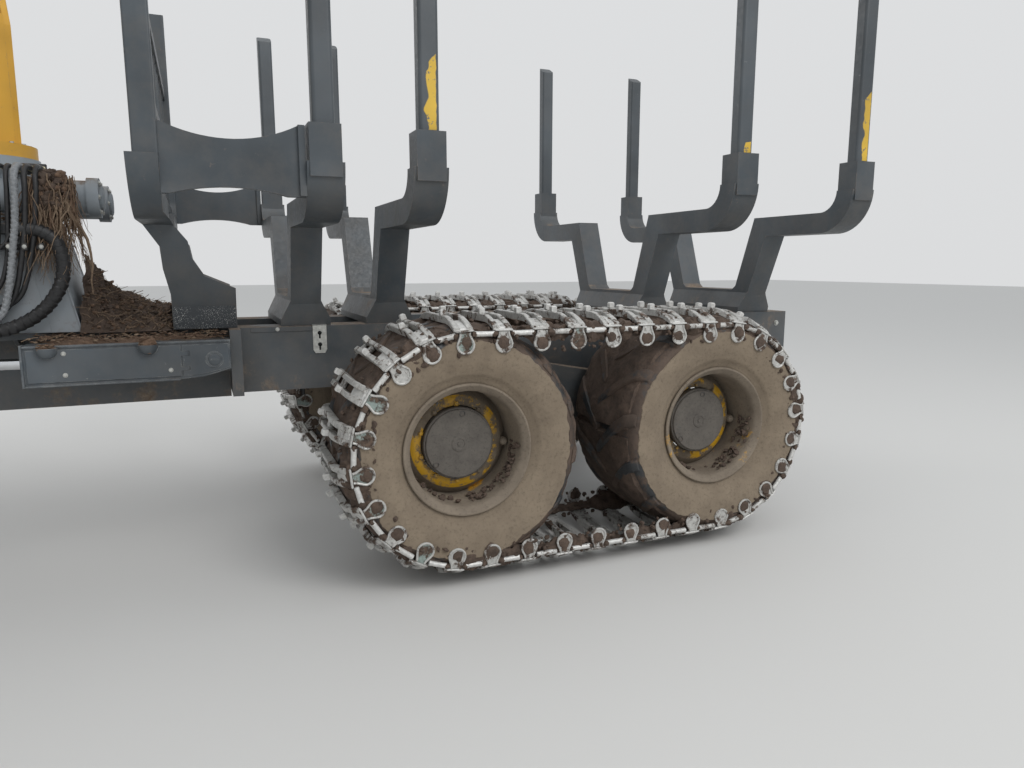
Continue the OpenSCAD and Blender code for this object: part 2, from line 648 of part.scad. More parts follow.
// Bogie beam: pivot hub, wheel housings and the two arms of the gear case
beam_y0 = 525;
beam_y1 = 715;
module bogie(px, pz, pitch, wz) translate([px, 0, 0]) {
  difference() {
    union() {
      ycyl(0, pz, beam_y0, beam_y1 - beam_y0, 235);
      for (s = [-1, 1]) ycyl(s * pitch / 2, wz, beam_y0, beam_y1 - beam_y0, 190);
      xz(beam_y0, beam_y1 - beam_y0) polygon([[-pitch / 2, wz - 189], [pitch / 2, wz - 189],
        [pitch / 2, wz + 189], [80, pz + 220], [-80, pz + 220], [-pitch / 2, wz + 189]]);
      for (s = [-1, 1]) ycyl(s * pitch / 2, wz, beam_y1 - 1, lip_y - 230 - beam_y1, stub_r);
    }
    ycyl(0, pz, beam_y0 - 10, beam_y1 - beam_y0 + 20, spigot_r + run);
  }
}
module front_bogie(s) color(charcoal) machine() mirror([0, s, 0])
  bogie(front_pivot_x, front_wheel_z + pivot_lift, front_pitch, front_wheel_z);
module rear_bogie(s) color(charcoal) machine() mirror([0, s, 0])
  bogie(rear_pivot_x, rear_wheel_z + pivot_lift, rear_pitch, rear_wheel_z);
module front_bogie_l() front_bogie(0);
module front_bogie_r() front_bogie(1);
module rear_bogie_l() rear_bogie(0);
module rear_bogie_r() rear_bogie(1);

// Tyre: revolved section about Y with angled lugs that end at lug_y, middle at the origin. Under a
// track they end short of the shoes' bent ends
bead = 285;
base_r = tyre_r - lug_h;
free_lug_y = tyre_w / 2 - 20;
tracked_lug_y = 295;
module tyre(lug_y) rotate([90, 0, 0]) {
  rotate_extrude($fn=64) polygon([[rim_r + seat, -bead + 2.5], [lip_r + 25, -bead - 12], [500, -tyre_w / 2],
    [base_r - 60, -tyre_w / 2 + 12], [base_r - 8, -tyre_w / 2 + 90], [base_r, 0],
    [base_r - 8, tyre_w / 2 - 90], [base_r - 60, tyre_w / 2 - 12], [500, tyre_w / 2],
    [lip_r + 25, bead + 12], [rim_r + seat, bead - 2.5]]);
  for (k = [0 : lug_n - 1], s = [0, 1]) mirror([0, 0, s])
    rotate([0, 0, (k + s / 2) * 360 / lug_n]) intersection() {
      cylinder(r=tyre_r, h=lug_y, $fn=64);
      translate([base_r - 40, 0, 0]) rotate([-38, 0, 0]) translate([0, -35, -20]) cube([120, 62, 460]);
    }
}
// Rim: barrel with lips, recessed disc, hub cover
disc_y = lip_y - wheel_y - 215;
module wheel_rim() {
  rotate([-90, 0, 0]) {
    difference() {
      union() {
        // Barrel and lips
        rotate_extrude($fn=64) polygon([[lip_r - 14, lip_y - wheel_y], [lip_r, lip_y - wheel_y],
          [lip_r, bead + 16], [rim_r, bead - 2], [rim_r, -bead + 2], [lip_r, -bead - 16],
          [lip_r, -lip_y + wheel_y], [lip_r - 14, -lip_y + wheel_y], [rim_r - 18, -bead], [rim_r - 18, bead]]);
        // Dished disc
        rotate_extrude($fn=64) polygon([[0, disc_y], [hub_r + 20, disc_y], [rim_r - 17, disc_y - 60],
          [rim_r - 17, disc_y - 90], [hub_r + 10, disc_y - 30], [0, disc_y - 30]]);
        // Hub sleeve on the stub
        translate([0, 0, disc_y - 190]) cylinder(r=stub_r + 35, h=180);
        // Hub cover
        translate([0, 0, disc_y - 1]) cylinder(r=hub_r, h=40);
        translate([0, 0, disc_y + 38]) cylinder(r1=hub_r - 8, r2=hub_r - 22, h=12);
      }
      translate([0, 0, disc_y - 200]) cylinder(r=stub_r + run, h=190);
    }
  }
}
module at_wheel(s, x, z) machine() mirror([0, s, 0]) translate([x, wheel_y, z]) children();
module front_tyre(s, k) color(dark)
  at_wheel(s, front_axle_1 + k * front_pitch, front_wheel_z) tyre(free_lug_y);
module front_rim(s, k) color(ochre)
  at_wheel(s, front_axle_1 + k * front_pitch, front_wheel_z) wheel_rim();
module front_tyre_l1() front_tyre(0, 0);
module front_tyre_l2() front_tyre(0, 1);
module front_tyre_r1() front_tyre(1, 0);
module front_tyre_r2() front_tyre(1, 1);
module front_rim_l1() front_rim(0, 0);
module front_rim_l2() front_rim(0, 1);
module front_rim_r1() front_rim(1, 0);
module front_rim_r2() front_rim(1, 1);
module rear_tyres(s) color(dark) for (x = [rear_axle_1, rear_axle_1 + rear_pitch])
  at_wheel(s, -x, rear_wheel_z) tyre(tracked_lug_y);
module rear_rims(s) color(ochre) for (x = [rear_axle_1, rear_axle_1 + rear_pitch])
  at_wheel(s, -x, rear_wheel_z) wheel_rim();
module rear_tyres_l() rear_tyres(0);
module rear_tyres_r() rear_tyres(1);
module rear_rims_l() rear_rims(0);
module rear_rims_r() rear_rims(1);

// Track: one closed loop round both wheels. A place on the loop is given by its length from
// the top of the rear wheel, forward along the top run
loop_r = tyre_r + seat;
loop_len = 2 * rear_pitch + 2 * PI * loop_r;
function on_loop(d) =
  let (run_l = rear_pitch, arc = PI * loop_r)
  d < run_l ? [d - run_l / 2, loop_r, 90] :
  d < run_l + arc ? let (a = 90 - (d - run_l) / loop_r * 180 / PI)
    [run_l / 2 + loop_r * cos(a), loop_r * sin(a), a] :
  d < 2 * run_l + arc ? [run_l / 2 - (d - run_l - arc), -loop_r, -90] :
  let (a = -90 - (d - 2 * run_l - arc) / loop_r * 180 / PI)
    [-run_l / 2 + loop_r * cos(a), loop_r * sin(a), a];
rib_w = 26;
bar_y = shoe_l / 2 - 40;
bar_out = shoe_l / 2 - 1;
bar_z = -50;
rod_y = shoe_l / 2 - 15;
rod_z = -41;
// One cross member, Z outward from the loop: two arched ribs joined at the middle and the ends, two
// studs, and at each end a bar that carries a side support against the tyre's shoulder
module shoe() {
  difference() {
    yz(-shoe_w / 2, shoe_w) polygon([[-bar_y - 5, -40], [-300, 0], [300, 0], [bar_y + 5, -40],
      [bar_y + 5, -18], [295, 20], [190, 37], [-190, 37], [-295, 20], [-bar_y - 5, -18]]);
    both() box([rib_w - shoe_w / 2, 34, -10], [shoe_w / 2 - rib_w, 232, 60]);
  }
  for (s = [-1, 1]) translate([s * (shoe_w - rib_w) / 2, s * 110, 30])
    translate([-12, -12, 0]) cube([24, 24, shoe_h - seat - 30]);
  both() {
    box([-shoe_w / 2, bar_y, bar_z], [shoe_w / 2, bar_out, bar_z + 20]);
    xz(bar_out - 8, 8) polygon([[-24, bar_z + 5], [-28, -70], [-40, -95], [-40, -118], [-24, -140],
      [24, -140], [40, -118], [40, -95], [28, -70], [24, bar_z + 5]]);
  }
}
// Place on the loop at length d, moved by x along it and z outward
function beside(d, x, z) =
  let (p = on_loop(d)) [p[0] + x * sin(p[2]) + z * cos(p[2]), p[1] - x * cos(p[2]) + z * sin(p[2])];
module track(s) color(steel) machine() mirror([0, s, 0]) translate([rear_pivot_x, wheel_y, rear_wheel_z])
  for (k = [0 : shoe_n - 1]) {
    d = (k + 0.5) * loop_len / shoe_n;
    p = on_loop(d);
    translate([p[0], 0, p[1]]) rotate([0, 90 - p[2], 0]) shoe();
    // Link rods from this shoe's bars to the next one's
    next = (k + 1.5) * loop_len / shoe_n;
    a = beside(d, shoe_w / 2 - 12, rod_z);
    b = beside(next > loop_len ? next - loop_len : next, 12 - shoe_w / 2, rod_z);
    for (y = [-rod_y, rod_y]) translate([a[0], y, a[1]]) rotate([0, 90 - atan2(b[1] - a[1], b[0] - a[0]), 0])
      cylinder(r=13, h=norm(b - a), $fn=8);
  }
module track_l() track(0);
module track_r() track(1);

// Crane. Drawn pointing along +X from the pillar's axis, then turned
module crane() machine() translate([-pillar_x, 0, 0]) rotate([0, 0, crane_turn]) children();
pivot_x = -50;
boom_pin_r = 45;
ear_t = 36;
ear_y = boom_w / 2 + 5;
lift_base = [112, boom_z - 834];
lift_eye = [1480, -300];
// Widths between the eye plates: lift rod, jib barrel, jib rod
lift_w = 90;
base_w = 110;
eye_w = 66;
lift_plate_t = 30;
crank_t = 14;
module crane_pillar() color(ochre) crane() {
    translate([0, 0, slew_z + seat]) cylinder(r=280, h=70);
    translate([0, 0, slew_z + 60]) cylinder(r=215, h=15);
    // Two side plates that carry the boom's pin and the lift cylinder's pin
    both() xz(ear_y, ear_t) {
      polygon([[-190, slew_z + 50], [205, slew_z + 50], [215, slew_z + 100], [230, lift_base[1] + 40],
        [60, boom_z + 60], [-140, boom_z + 60], [-200, boom_z - 300]]);
      translate([pivot_x, boom_z]) circle(130);
    }
    // Back plate between them
    box([-200, -ear_y - 1, slew_z + 50], [-165, ear_y + 1, boom_z - 250]);
    // Pins
    ycyl(pivot_x, boom_z, -ear_y - ear_t - 15, 2 * (ear_y + ear_t + 15), boom_pin_r);
    ycyl(lift_base[0], lift_base[1], -ear_y - ear_t - 10, 2 * (ear_y + ear_t + 10), 35);
}
// Along the main boom: X to the knuckle, Z up from the boom's axis
module on_main() crane() translate([pivot_x, 0, boom_z]) rotate([0, -main_a, 0]) children();
jib_base = [main_l - 2000, 300];
module main_boom() color(ochre) on_main() difference() {
  union() {
    // Root hub, tapered box and knuckle fork
    ycyl(0, 0, -boom_w / 2, boom_w, 120);
    xz(-boom_w / 2, boom_w) polygon([[0, -110], [0, 110], [900, 165], [main_l - 900, 150], [main_l - 420, 95],
      [main_l - 420, -110], [main_l - 900, -150], [lift_eye[0], -165], [900, -160]]);
    // Knuckle fork
    both() xz(boom_w / 2 - 30, 29) {
      polygon([[main_l - 600, -84], [main_l - 600, 84], [main_l, 84], [main_l, -84]]);
      translate([main_l, 0]) circle(95);
    }
    ycyl(main_l, 0, -boom_w / 2 - 10, boom_w + 20, 40);
    // Lift cylinder eye plates
    both() xz(lift_w / 2, lift_plate_t) {
      polygon([[lift_eye[0] - 260, -150], [lift_eye[0] + 260, -150], [lift_eye[0] + 60, lift_eye[1] - 40],
        [lift_eye[0] - 60, lift_eye[1] - 40]]);
      translate(lift_eye) circle(75);
    }
    both() ycyl(lift_eye[0], lift_eye[1], lift_w / 2 + lift_plate_t - 1, 11, 35);
    // Jib cylinder base plates
    both() xz(base_w / 2 + 3, 22) {
      polygon([[jib_base[0] - 200, 140], [jib_base[0] + 160, 140], [jib_base[0] + 50, jib_base[1] + 30],
        [jib_base[0] - 50, jib_base[1] + 30]]);
      translate(jib_base) circle(62);
    }
    ycyl(jib_base[0], jib_base[1], -95, 190, 30);
  }
  ycyl(0, 0, -boom_w, 2 * boom_w, boom_pin_r + run);
}

// Lift cylinder in the crane's plane
function turn2(p, a) = [p[0] * cos(a) - p[1] * sin(a), p[0] * sin(a) + p[1] * cos(a)];
lift_to = [pivot_x, boom_z] + turn2(lift_eye, main_a);
lift_v = lift_to - lift_base;
lift_len = norm(lift_v);
lift_a = atan2(lift_v[1], lift_v[0]);
module on_lift() crane() translate([lift_base[0], 0, lift_base[1]]) rotate([0, -lift_a, 0])
  rotate([90, 0, 0]) children();
lift_barrel_mm = 1075;
lift_rod_len = 1200;
module lift_barrel() color(dark) on_lift() barrel(lift_barrel_mm, 72, 52, 40, 78, 110, 35);
module lift_rod() color(steel) on_lift() rod(lift_len, lift_rod_len, 40, 62, lift_w);

// Jib cylinder: the crank of the outer boom is its far end
crank_r = 300;
crank_a = 149.5;
crank_end = turn2([crank_r, 0], crank_a);
knuckle = [main_l, 0];
jib_to = knuckle + turn2([crank_r, 0], outer_a - main_a + crank_a);
jib_v = jib_to - jib_base;
jib_len = norm(jib_v);
jib_a = atan2(jib_v[1], jib_v[0]);
module on_jib() on_main() translate([jib_base[0], 0, jib_base[1]]) rotate([0, -jib_a, 0])
  rotate([90, 0, 0]) children();
jib_barrel_mm = 1240;
jib_rod_len = 1160;
module jib_barrel() color(dark) on_jib() barrel(jib_barrel_mm, 52, 38, 30, 60, base_w, 30);
module jib_rod() color(steel) on_jib() rod(jib_len, jib_rod_len, 30, 52, eye_w);

// Outer boom: crank, hub between the fork plates, hollow box for the telescope
module on_outer() on_main() translate([main_l, 0, 0]) rotate([0, main_a - outer_a, 0]) children();
hub_w = boom_w - 66;
outer_h = 220;
outer_w = 160;
tele_h = 150;
tele_w = 100;
mouth_x = outer_l - 240;
module outer_boom() color(ochre) on_outer() difference() {
  union() {
    ycyl(0, 0, -hub_w / 2, hub_w, 90);
    // Neck behind the tube, between the fork plates
    xz(-hub_w / 2, hub_w) polygon([[0, -80], [0, 85], [250, 110], [250, -110]]);
    box([240, -outer_w / 2, -outer_h / 2], [mouth_x, outer_w / 2, outer_h / 2]);
    // Crank plates for the jib cylinder's eye
    both() xz(eye_w / 2, crank_t) {
      polygon([turn2([crank_r, 50], crank_a), turn2([crank_r, -50], crank_a), turn2([0, -80], crank_a),
        [250, 60], turn2([0, 70], crank_a)]);
      translate(crank_end) circle(52);
    }
    both() ycyl(crank_end[0], crank_end[1], eye_w / 2 + crank_t - 1, 6, 28);
  }
  ycyl(0, 0, -boom_w, 2 * boom_w, 40 + run);
  box([270, -tele_w / 2 - 10, -tele_h / 2 - 10], [mouth_x - 100, tele_w / 2 + 10, tele_h / 2 + 10]);
  box([270, -tele_w / 2 - seat, -tele_h / 2 - seat], [mouth_x + 10, tele_w / 2 + seat, tele_h / 2 + seat]);
}
tele_in = 300;
tip_pin_r = 25;
link_w_mm = 80;
module extension() color(dark) on_outer() {
  box([tele_in, -tele_w / 2, -tele_h / 2], [outer_l - 110, tele_w / 2, tele_h / 2]);
  both() xz(link_w_mm / 2 + 2, 20) {
    polygon([[outer_l - 160, -70], [outer_l - 160, 70], [outer_l, 55], [outer_l, -55]]);
    translate([outer_l, 0]) circle(55);
  }
  box([outer_l - 161, -link_w_mm / 2 - 3, -70], [outer_l - 109, link_w_mm / 2 + 3, 70]);
  ycyl(outer_l, 0, -link_w_mm / 2 - 25, link_w_mm + 50, tip_pin_r);
}

// What hangs from the tip: link, rotator, head and jaws, drawn below the tip's pin
tip = [pivot_x, boom_z] + turn2([main_l, 0], main_a) + turn2([outer_l, 0], outer_a);
module hanging() crane() translate([tip[0], 0, tip[1]]) children();
cross_z = -210;
rotor_top = -290;
rotor_low = -500;
head_low = -830;
jaw_pin = [150, -760];
module hanging_link() color(charcoal) hanging() difference() {
  union() {
    ycyl(0, 0, -link_w_mm / 2, link_w_mm, 55);
    box([-40, -40, cross_z], [40, 40, 0]);
    xcyl(-40, 0, cross_z, 80, 55);
  }
  ycyl(0, 0, -100, 200, tip_pin_r + run);
  xcyl(-100, 0, cross_z, 200, tip_pin_r + run);
}
module rotator() color(dark) hanging() {
  for (s = [-1, 1]) yz(s > 0 ? 42 : -62, 20) {
    translate([0, cross_z]) circle(50);
    translate([-50, rotor_top - 5]) square([100, cross_z - rotor_top + 5]);
  }
  xcyl(-70, 0, cross_z, 140, tip_pin_r);
  translate([0, 0, rotor_low]) cylinder(r=125, h=rotor_top - rotor_low);
}
module grapple_head() color(charcoal) hanging() difference() {
  union() {
    translate([0, 0, rotor_low - 40 - seat]) cylinder(r=140, h=40);
    box([-170, -118, -600], [170, 118, rotor_low - 30]);
    both() xz(102, 16) polygon([[-190, -600], [-170, -540], [170, -540], [190, -600], [jaw_pin[0] + 60, -750],
      [jaw_pin[0] + 50, head_low], [-jaw_pin[0] - 50, head_low], [-jaw_pin[0] - 60, -750]]);
    for (s = [-1, 1]) ycyl(s * jaw_pin[0], jaw_pin[1], -130, 260, 30);
    // Closing cylinder between the plates
    xcyl(-120, 0, -640, 240, 45);
  }
  box([-400, -101, -1000], [400, 101, -820]);
}
// Jaw: curved tines on a hub. side 1 opens towards +X
jaw_mid = [0, -1060];
module tine(y0) xz(y0, tine_t) difference() {
  union() {
    intersection() {
      difference() {
        translate(jaw_mid) circle(jaw_r, $fn=96);
        translate(jaw_mid) circle(jaw_r - 75, $fn=96);
      }
      translate(jaw_mid)
        polygon([[0, 0], turn2([900, 0], 38), [1200, 400], [1200, -900], turn2([900, 0], -96)]);
    }
    polygon([jaw_pin + [-40, -45], jaw_pin + [-30, 45], jaw_pin + [40, 45],
      jaw_mid + turn2([jaw_r - 1, 0], 44), jaw_mid + turn2([jaw_r - 1, 0], 37),
      jaw_mid + turn2([jaw_r - 74, 0], 30)]);
    translate(jaw_pin) circle(62);
  }
  translate(jaw_pin) circle(30 + run);
}
module jaw(side, offsets) color(charcoal) hanging() mirror([side > 0 ? 0 : 1, 0, 0]) {
  width = max(offsets) - min(offsets);
  for (y = offsets) tine(y - tine_t / 2);
  difference() {
    ycyl(jaw_pin[0], jaw_pin[1], min(offsets), width, 50);
    ycyl(jaw_pin[0], jaw_pin[1], -200, 400, 30 + run);
  }
  ycyl(jaw_mid[0] + (jaw_r - 36) * cos(10), jaw_mid[1] - (jaw_r - 36) * sin(10), min(offsets), width, 26);
}
module jaw_outer() jaw(1, [-76, 76]);
module jaw_inner() jaw(-1, [-28, 28]);

rear_frame();
bolsters();
stakes();
gate_foot();
load_gate();
side_boxes();
crane_base();
crane_hoses();
center_joint();
steer_barrel_l();
steer_rod_l();
steer_barrel_r();
steer_rod_r();
front_frame();
front_axle();
engine_block();
cab_shell();
cab_glass();
cab_seat();
fenders();
work_lights();
cab_door();
door_glass();
bonnet();
front_bogie_l();
front_bogie_r();
front_tyre_l1();
front_tyre_l2();
front_tyre_r1();
front_tyre_r2();
front_rim_l1();
front_rim_l2();
front_rim_r1();
front_rim_r2();
rear_bogie_l();
rear_bogie_r();
rear_tyres_l();
rear_tyres_r();
rear_rims_l();
rear_rims_r();
track_l();
track_r();
crane_pillar();
lift_barrel();
lift_rod();
main_boom();
jib_barrel();
jib_rod();
outer_boom();
extension();
hanging_link();
rotator();
grapple_head();
jaw_outer();
jaw_inner();
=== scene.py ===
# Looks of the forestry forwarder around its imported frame. Metres, the frame's own axes.
# Machine places are given from the articulation joint (X), the mid plane (Y) and the ground (Z).
import random
from math import copysign, cos, exp, hypot, pi, radians, sin, tau

import bmesh
import bpy
from mathutils import Matrix, Vector
from mathutils.noise import noise


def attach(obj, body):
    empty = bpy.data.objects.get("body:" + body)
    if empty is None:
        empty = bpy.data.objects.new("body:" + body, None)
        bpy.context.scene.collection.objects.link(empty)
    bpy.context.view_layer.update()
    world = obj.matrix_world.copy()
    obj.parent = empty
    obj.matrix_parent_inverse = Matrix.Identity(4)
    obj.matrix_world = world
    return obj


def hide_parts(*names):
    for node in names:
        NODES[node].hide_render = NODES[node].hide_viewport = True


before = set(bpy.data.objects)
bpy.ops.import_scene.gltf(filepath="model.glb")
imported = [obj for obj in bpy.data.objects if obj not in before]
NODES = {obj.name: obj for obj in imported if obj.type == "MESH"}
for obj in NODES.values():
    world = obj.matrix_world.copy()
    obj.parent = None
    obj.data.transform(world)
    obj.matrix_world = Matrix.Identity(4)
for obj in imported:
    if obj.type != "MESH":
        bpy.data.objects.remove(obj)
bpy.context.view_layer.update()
SCENE = bpy.context.scene


def shift(x, y, z):
    return Matrix.Translation((x, y, z))


def spin(angle, axis):
    return Matrix.Rotation(angle, 4, axis)


# Driving sizes, as in the construction
TYRE_R, HUB_R = 0.6725, 0.203
WHEEL_Y, SHOE_H, SHOE_N = 1.12, 0.075, 34
FRONT_AXLES, REAR_AXLES = (1.2, 2.7), (-3.3, -4.9)
REAR_WHEEL_Z = TYRE_R + SHOE_H
REAR_PITCH = 1.6
STAKES = (-2.61, -3.12, -5.05, -5.98)
FRAME_TOP, FRAME_Y = 1.36, 0.47
PILLAR_X, SLEW_Z = -0.95, 2.3
CRANE_TURN, MAIN_A, OUTER_A = -50.0, 62.0, -27.0
PIVOT = (-0.05, 3.3)
MAIN_L = 3.7
CAB_BACK, CAB_FRONT, CAB_Y, CAB_TOP = 0.65, 2.4, 0.8, 3.7
BONNET_BACK, BONNET_FRONT, BONNET_Y = 2.44, 3.97, 0.72
FRONT_REACH = 4.1

MACHINE = shift(1.15, 1.15, 0)
CRANE = MACHINE @ shift(PILLAR_X, 0, 0) @ spin(radians(CRANE_TURN), "Z")
ON_MAIN = CRANE @ shift(PIVOT[0], 0, PIVOT[1]) @ spin(-radians(MAIN_A), "Y")
ON_OUTER = ON_MAIN @ shift(MAIN_L, 0, 0) @ spin(radians(MAIN_A - OUTER_A), "Y")
SIDES = ((1, "l"), (-1, "r"))


# Mesh gathering

def place_object(name, data):
    obj = bpy.data.objects.new(name, data)
    SCENE.collection.objects.link(obj)
    return obj


class Form:
    """Gathers vertices and faces of one piece. mat is the number of the piece's material."""

    def __init__(self, place=MACHINE):
        self.place = place
        self.verts = []
        self.faces = []
        self.mats = []

    def add(self, verts, faces, mat=0, at=None):
        first = len(self.verts)
        move = self.place if at is None else self.place @ at
        self.verts += [move @ Vector(v) for v in verts]
        self.faces += [tuple(first + i for i in f) for f in faces]
        self.mats += [mat] * len(faces)

    def plate(self, outline, low, high, edge, mat, at=None):
        """A plate whose outline lies in XY."""
        self.add(*slab(outline, low, high, edge), mat, at)

    def panel(self, outline, low, high, edge, mat, at=None):
        """A plate whose outline lies in XZ."""
        verts, faces = slab(outline, low, high, edge)
        self.add([(x, y, z) for x, z, y in verts], faces, mat, at)

    def box(self, low, high, edge, mat, at=None):
        """A box with chamfered edges and corners."""
        (x0, y0, z0), (x1, y1, z1) = low, high
        e = edge
        self.plate([(x0 + e, y0), (x1 - e, y0), (x1, y0 + e), (x1, y1 - e), (x1 - e, y1), (x0 + e, y1),
                    (x0, y1 - e), (x0, y0 + e)], z0, z1, e, mat, at)

    def side_box(self, side, x, y, z, edge, mat, at=None):
        """A box between two distances y from the middle, on that side of it. x and z are pairs too."""
        y = sorted((side * y[0], side * y[1]))
        self.box((x[0], y[0], z[0]), (x[1], y[1], z[1]), edge, mat, at)

    def pipe(self, points, radius, sides, mat, at=None):
        self.add(*tube(points, radius, sides), mat, at)

    def turned(self, profile, steps, mat, at=None):
        self.add(*lathe(profile, steps), mat, at)

    def capped(self, profile, steps, mat, at=None):
        """A turned form whose profile starts and ends on the Y axis."""
        verts, faces = lathe(profile[1:-1], steps, closed=False)
        n = len(profile) - 2
        first, last = len(verts), len(verts) + 1
        verts += [(0, profile[0][1], 0), (0, profile[-1][1], 0)]
        for i in range(steps):
            k = (i + 1) % steps
            faces.append((first, i * n, k * n))
            faces.append((last, i * n + n - 1, k * n + n - 1))
        self.add(verts, faces, mat, at)

    def bolts(self, places, along, mat, radius=0.012, height=0.009):
        for p in places:
            self.add(*bolt(radius, height), mat, facing(p, along))

    def make(self, name, body, materials, slot, replaced=None):
        mesh = bpy.data.meshes.new(name)
        mesh.from_pydata(self.verts, [], self.faces)
        for m in materials:
            mesh.materials.append(m)
        mesh.polygons.foreach_set("material_index", self.mats)
        shape = bmesh.new()
        shape.from_mesh(mesh)
        bmesh.ops.recalc_face_normals(shape, faces=shape.faces)
        shape.to_mesh(mesh)
        shape.free()
        mesh.shade_smooth()
        mesh.set_sharp_from_angle(angle=radians(35))
        obj = place_object(name, mesh)
        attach(obj, body)
        if replaced:
            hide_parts(replaced)


def angles(count):
    """That many equal steps round a circle."""
    return [tau * i / count for i in range(count)]


def polar(radius, angle, y):
    """A point at that distance and angle from the Y axis."""
    return radius * cos(angle), y, radius * sin(angle)


def strip(rings, closed_ring=True, closed_run=False, caps=True):
    """Faces that join equal rings of points in turn."""
    n = len(rings[0])
    verts = [p for ring in rings for p in ring]
    faces = []
    runs = len(rings) if closed_run else len(rings) - 1
    for i in range(runs):
        a, b = i * n, ((i + 1) % len(rings)) * n
        for j in range(n if closed_ring else n - 1):
            k = (j + 1) % n
            faces.append((a + j, a + k, b + k, b + j))
    if caps and not closed_run:
        faces.append(tuple(range(n)))
        faces.append(tuple(range(len(rings) * n - n, len(rings) * n)))
    return verts, faces


def slab(outline, low, high, edge):
    """A plate of that outline with chamfered edges."""
    n = len(outline)
    turns = [outline[i][0] * outline[(i + 1) % n][1] - outline[(i + 1) % n][0] * outline[i][1]
             for i in range(n)]
    way = 1 if sum(turns) > 0 else -1
    inner = []
    for i in range(n):
        p, a, b = Vector(outline[i]), Vector(outline[i - 1]), Vector(outline[(i + 1) % n])
        u, v = (p - a).normalized(), (b - p).normalized()
        mid = Vector((-u.y, u.x)) * way + Vector((-v.y, v.x)) * way
        inner.append(p + mid / max(mid.length_squared / 2, 0.5) * edge)
    levels = [(inner, low), (outline, low + edge), (outline, high - edge), (inner, high)]
    return strip([[(p[0], p[1], t) for p in ring] for ring, t in levels])


def ngon(radius, sides):
    return [(radius * cos(a), radius * sin(a)) for a in angles(sides)]


def tube(points, radius, sides=10, caps=True, closed=False):
    """A round tube along points. radius is a number, or a function of the share of the way."""
    pts = [Vector(p) for p in points]
    n = len(pts)
    rings, normal = [], None
    for i, p in enumerate(pts):
        before = pts[i - 1] if i or closed else p
        after = pts[(i + 1) % n] if i < n - 1 or closed else p
        along = (after - before).normalized()
        if normal is None:
            normal = along.orthogonal().normalized()
        normal = (normal - along * normal.dot(along)).normalized()
        side = along.cross(normal)
        r = radius(i / (n - 1)) if callable(radius) else radius
        rings.append([p + (normal * cos(a) + side * sin(a)) * r for a in angles(sides)])
    return strip(rings, caps=caps, closed_run=closed)


def rounded_path(corners, bend, steps=6):
    """Points along straight runs with round bends at the inner corners."""
    pts = [Vector(c) for c in corners]
    path = [pts[0]]
    for a, p, b in zip(pts, pts[1:], pts[2:]):
        u, v = (a - p).normalized(), (b - p).normalized()
        cut = min(bend, (a - p).length * 0.48, (b - p).length * 0.48)
        s, e = p + u * cut, p + v * cut
        path += [s.lerp(p, t).lerp(p.lerp(e, t), t) for t in (k / steps for k in range(steps + 1))]
    return path + [pts[-1]]


def curve(knots):
    """A smooth run through all knots."""
    pts = [Vector(k) for k in knots]
    steps = 7
    ends = [pts[0] * 2 - pts[1]] + pts + [pts[-1] * 2 - pts[-2]]
    path = []
    for p0, p1, p2, p3 in zip(ends, ends[1:], ends[2:], ends[3:]):
        for t in (k / steps for k in range(steps)):
            path.append(0.5 * (2 * p1 + (p2 - p0) * t + (2 * p0 - 5 * p1 + 4 * p2 - p3) * t * t
                               + (3 * p1 - p0 - 3 * p2 + p3) * t ** 3))
    return path + [pts[-1]]


def lathe(profile, steps=64, closed=True):
    """Turns (radius, place) points about the Y axis."""
    rings = [[polar(r, a, y) for r, y in profile] for a in angles(steps)]
    return strip(rings, closed_ring=closed, closed_run=True)


def clod(size, seed, flat=0.6):
    """A rough lump."""
    verts, faces = [(0, 0, -1)], []
    rows, steps = 4, 7
    for i in range(1, rows):
        a = -pi / 2 + pi * i / rows
        verts += [(cos(a) * cos(b), cos(a) * sin(b), sin(a)) for b in angles(steps)]
    verts.append((0, 0, 1))
    last_row = 1 + (rows - 2) * steps
    for j in range(steps):
        k = (j + 1) % steps
        faces.append((0, 1 + k, 1 + j))
        for i in range(rows - 2):
            a, b = 1 + i * steps, 1 + (i + 1) * steps
            faces.append((a + j, a + k, b + k, b + j))
        faces.append((last_row + j, last_row + k, len(verts) - 1))
    shaped = []
    for v in map(Vector, verts):
        swell = 1 + 0.45 * noise(v * 1.7 + Vector((seed * 7.13, seed * 3.7, seed)))
        shaped.append((v.x * size * swell, v.y * size * swell, v.z * size * swell * flat))
    return shaped, faces


def bolt(radius, height):
    """A hexagon head on a washer, pointing along +Z."""
    head = slab(ngon(radius, 6), 0.002, height, 0.0015)
    washer = slab(ngon(radius * 1.35, 14), 0.0, 0.003, 0.0008)
    n = len(head[0])
    return head[0] + washer[0], head[1] + [tuple(i + n for i in f) for f in washer[1]]


def facing(place, along):
    """A matrix that puts +Z along that direction at that place."""
    return Matrix.Translation(place) @ Vector(along).to_track_quat("Z", "Y").to_matrix().to_4x4()


# Materials

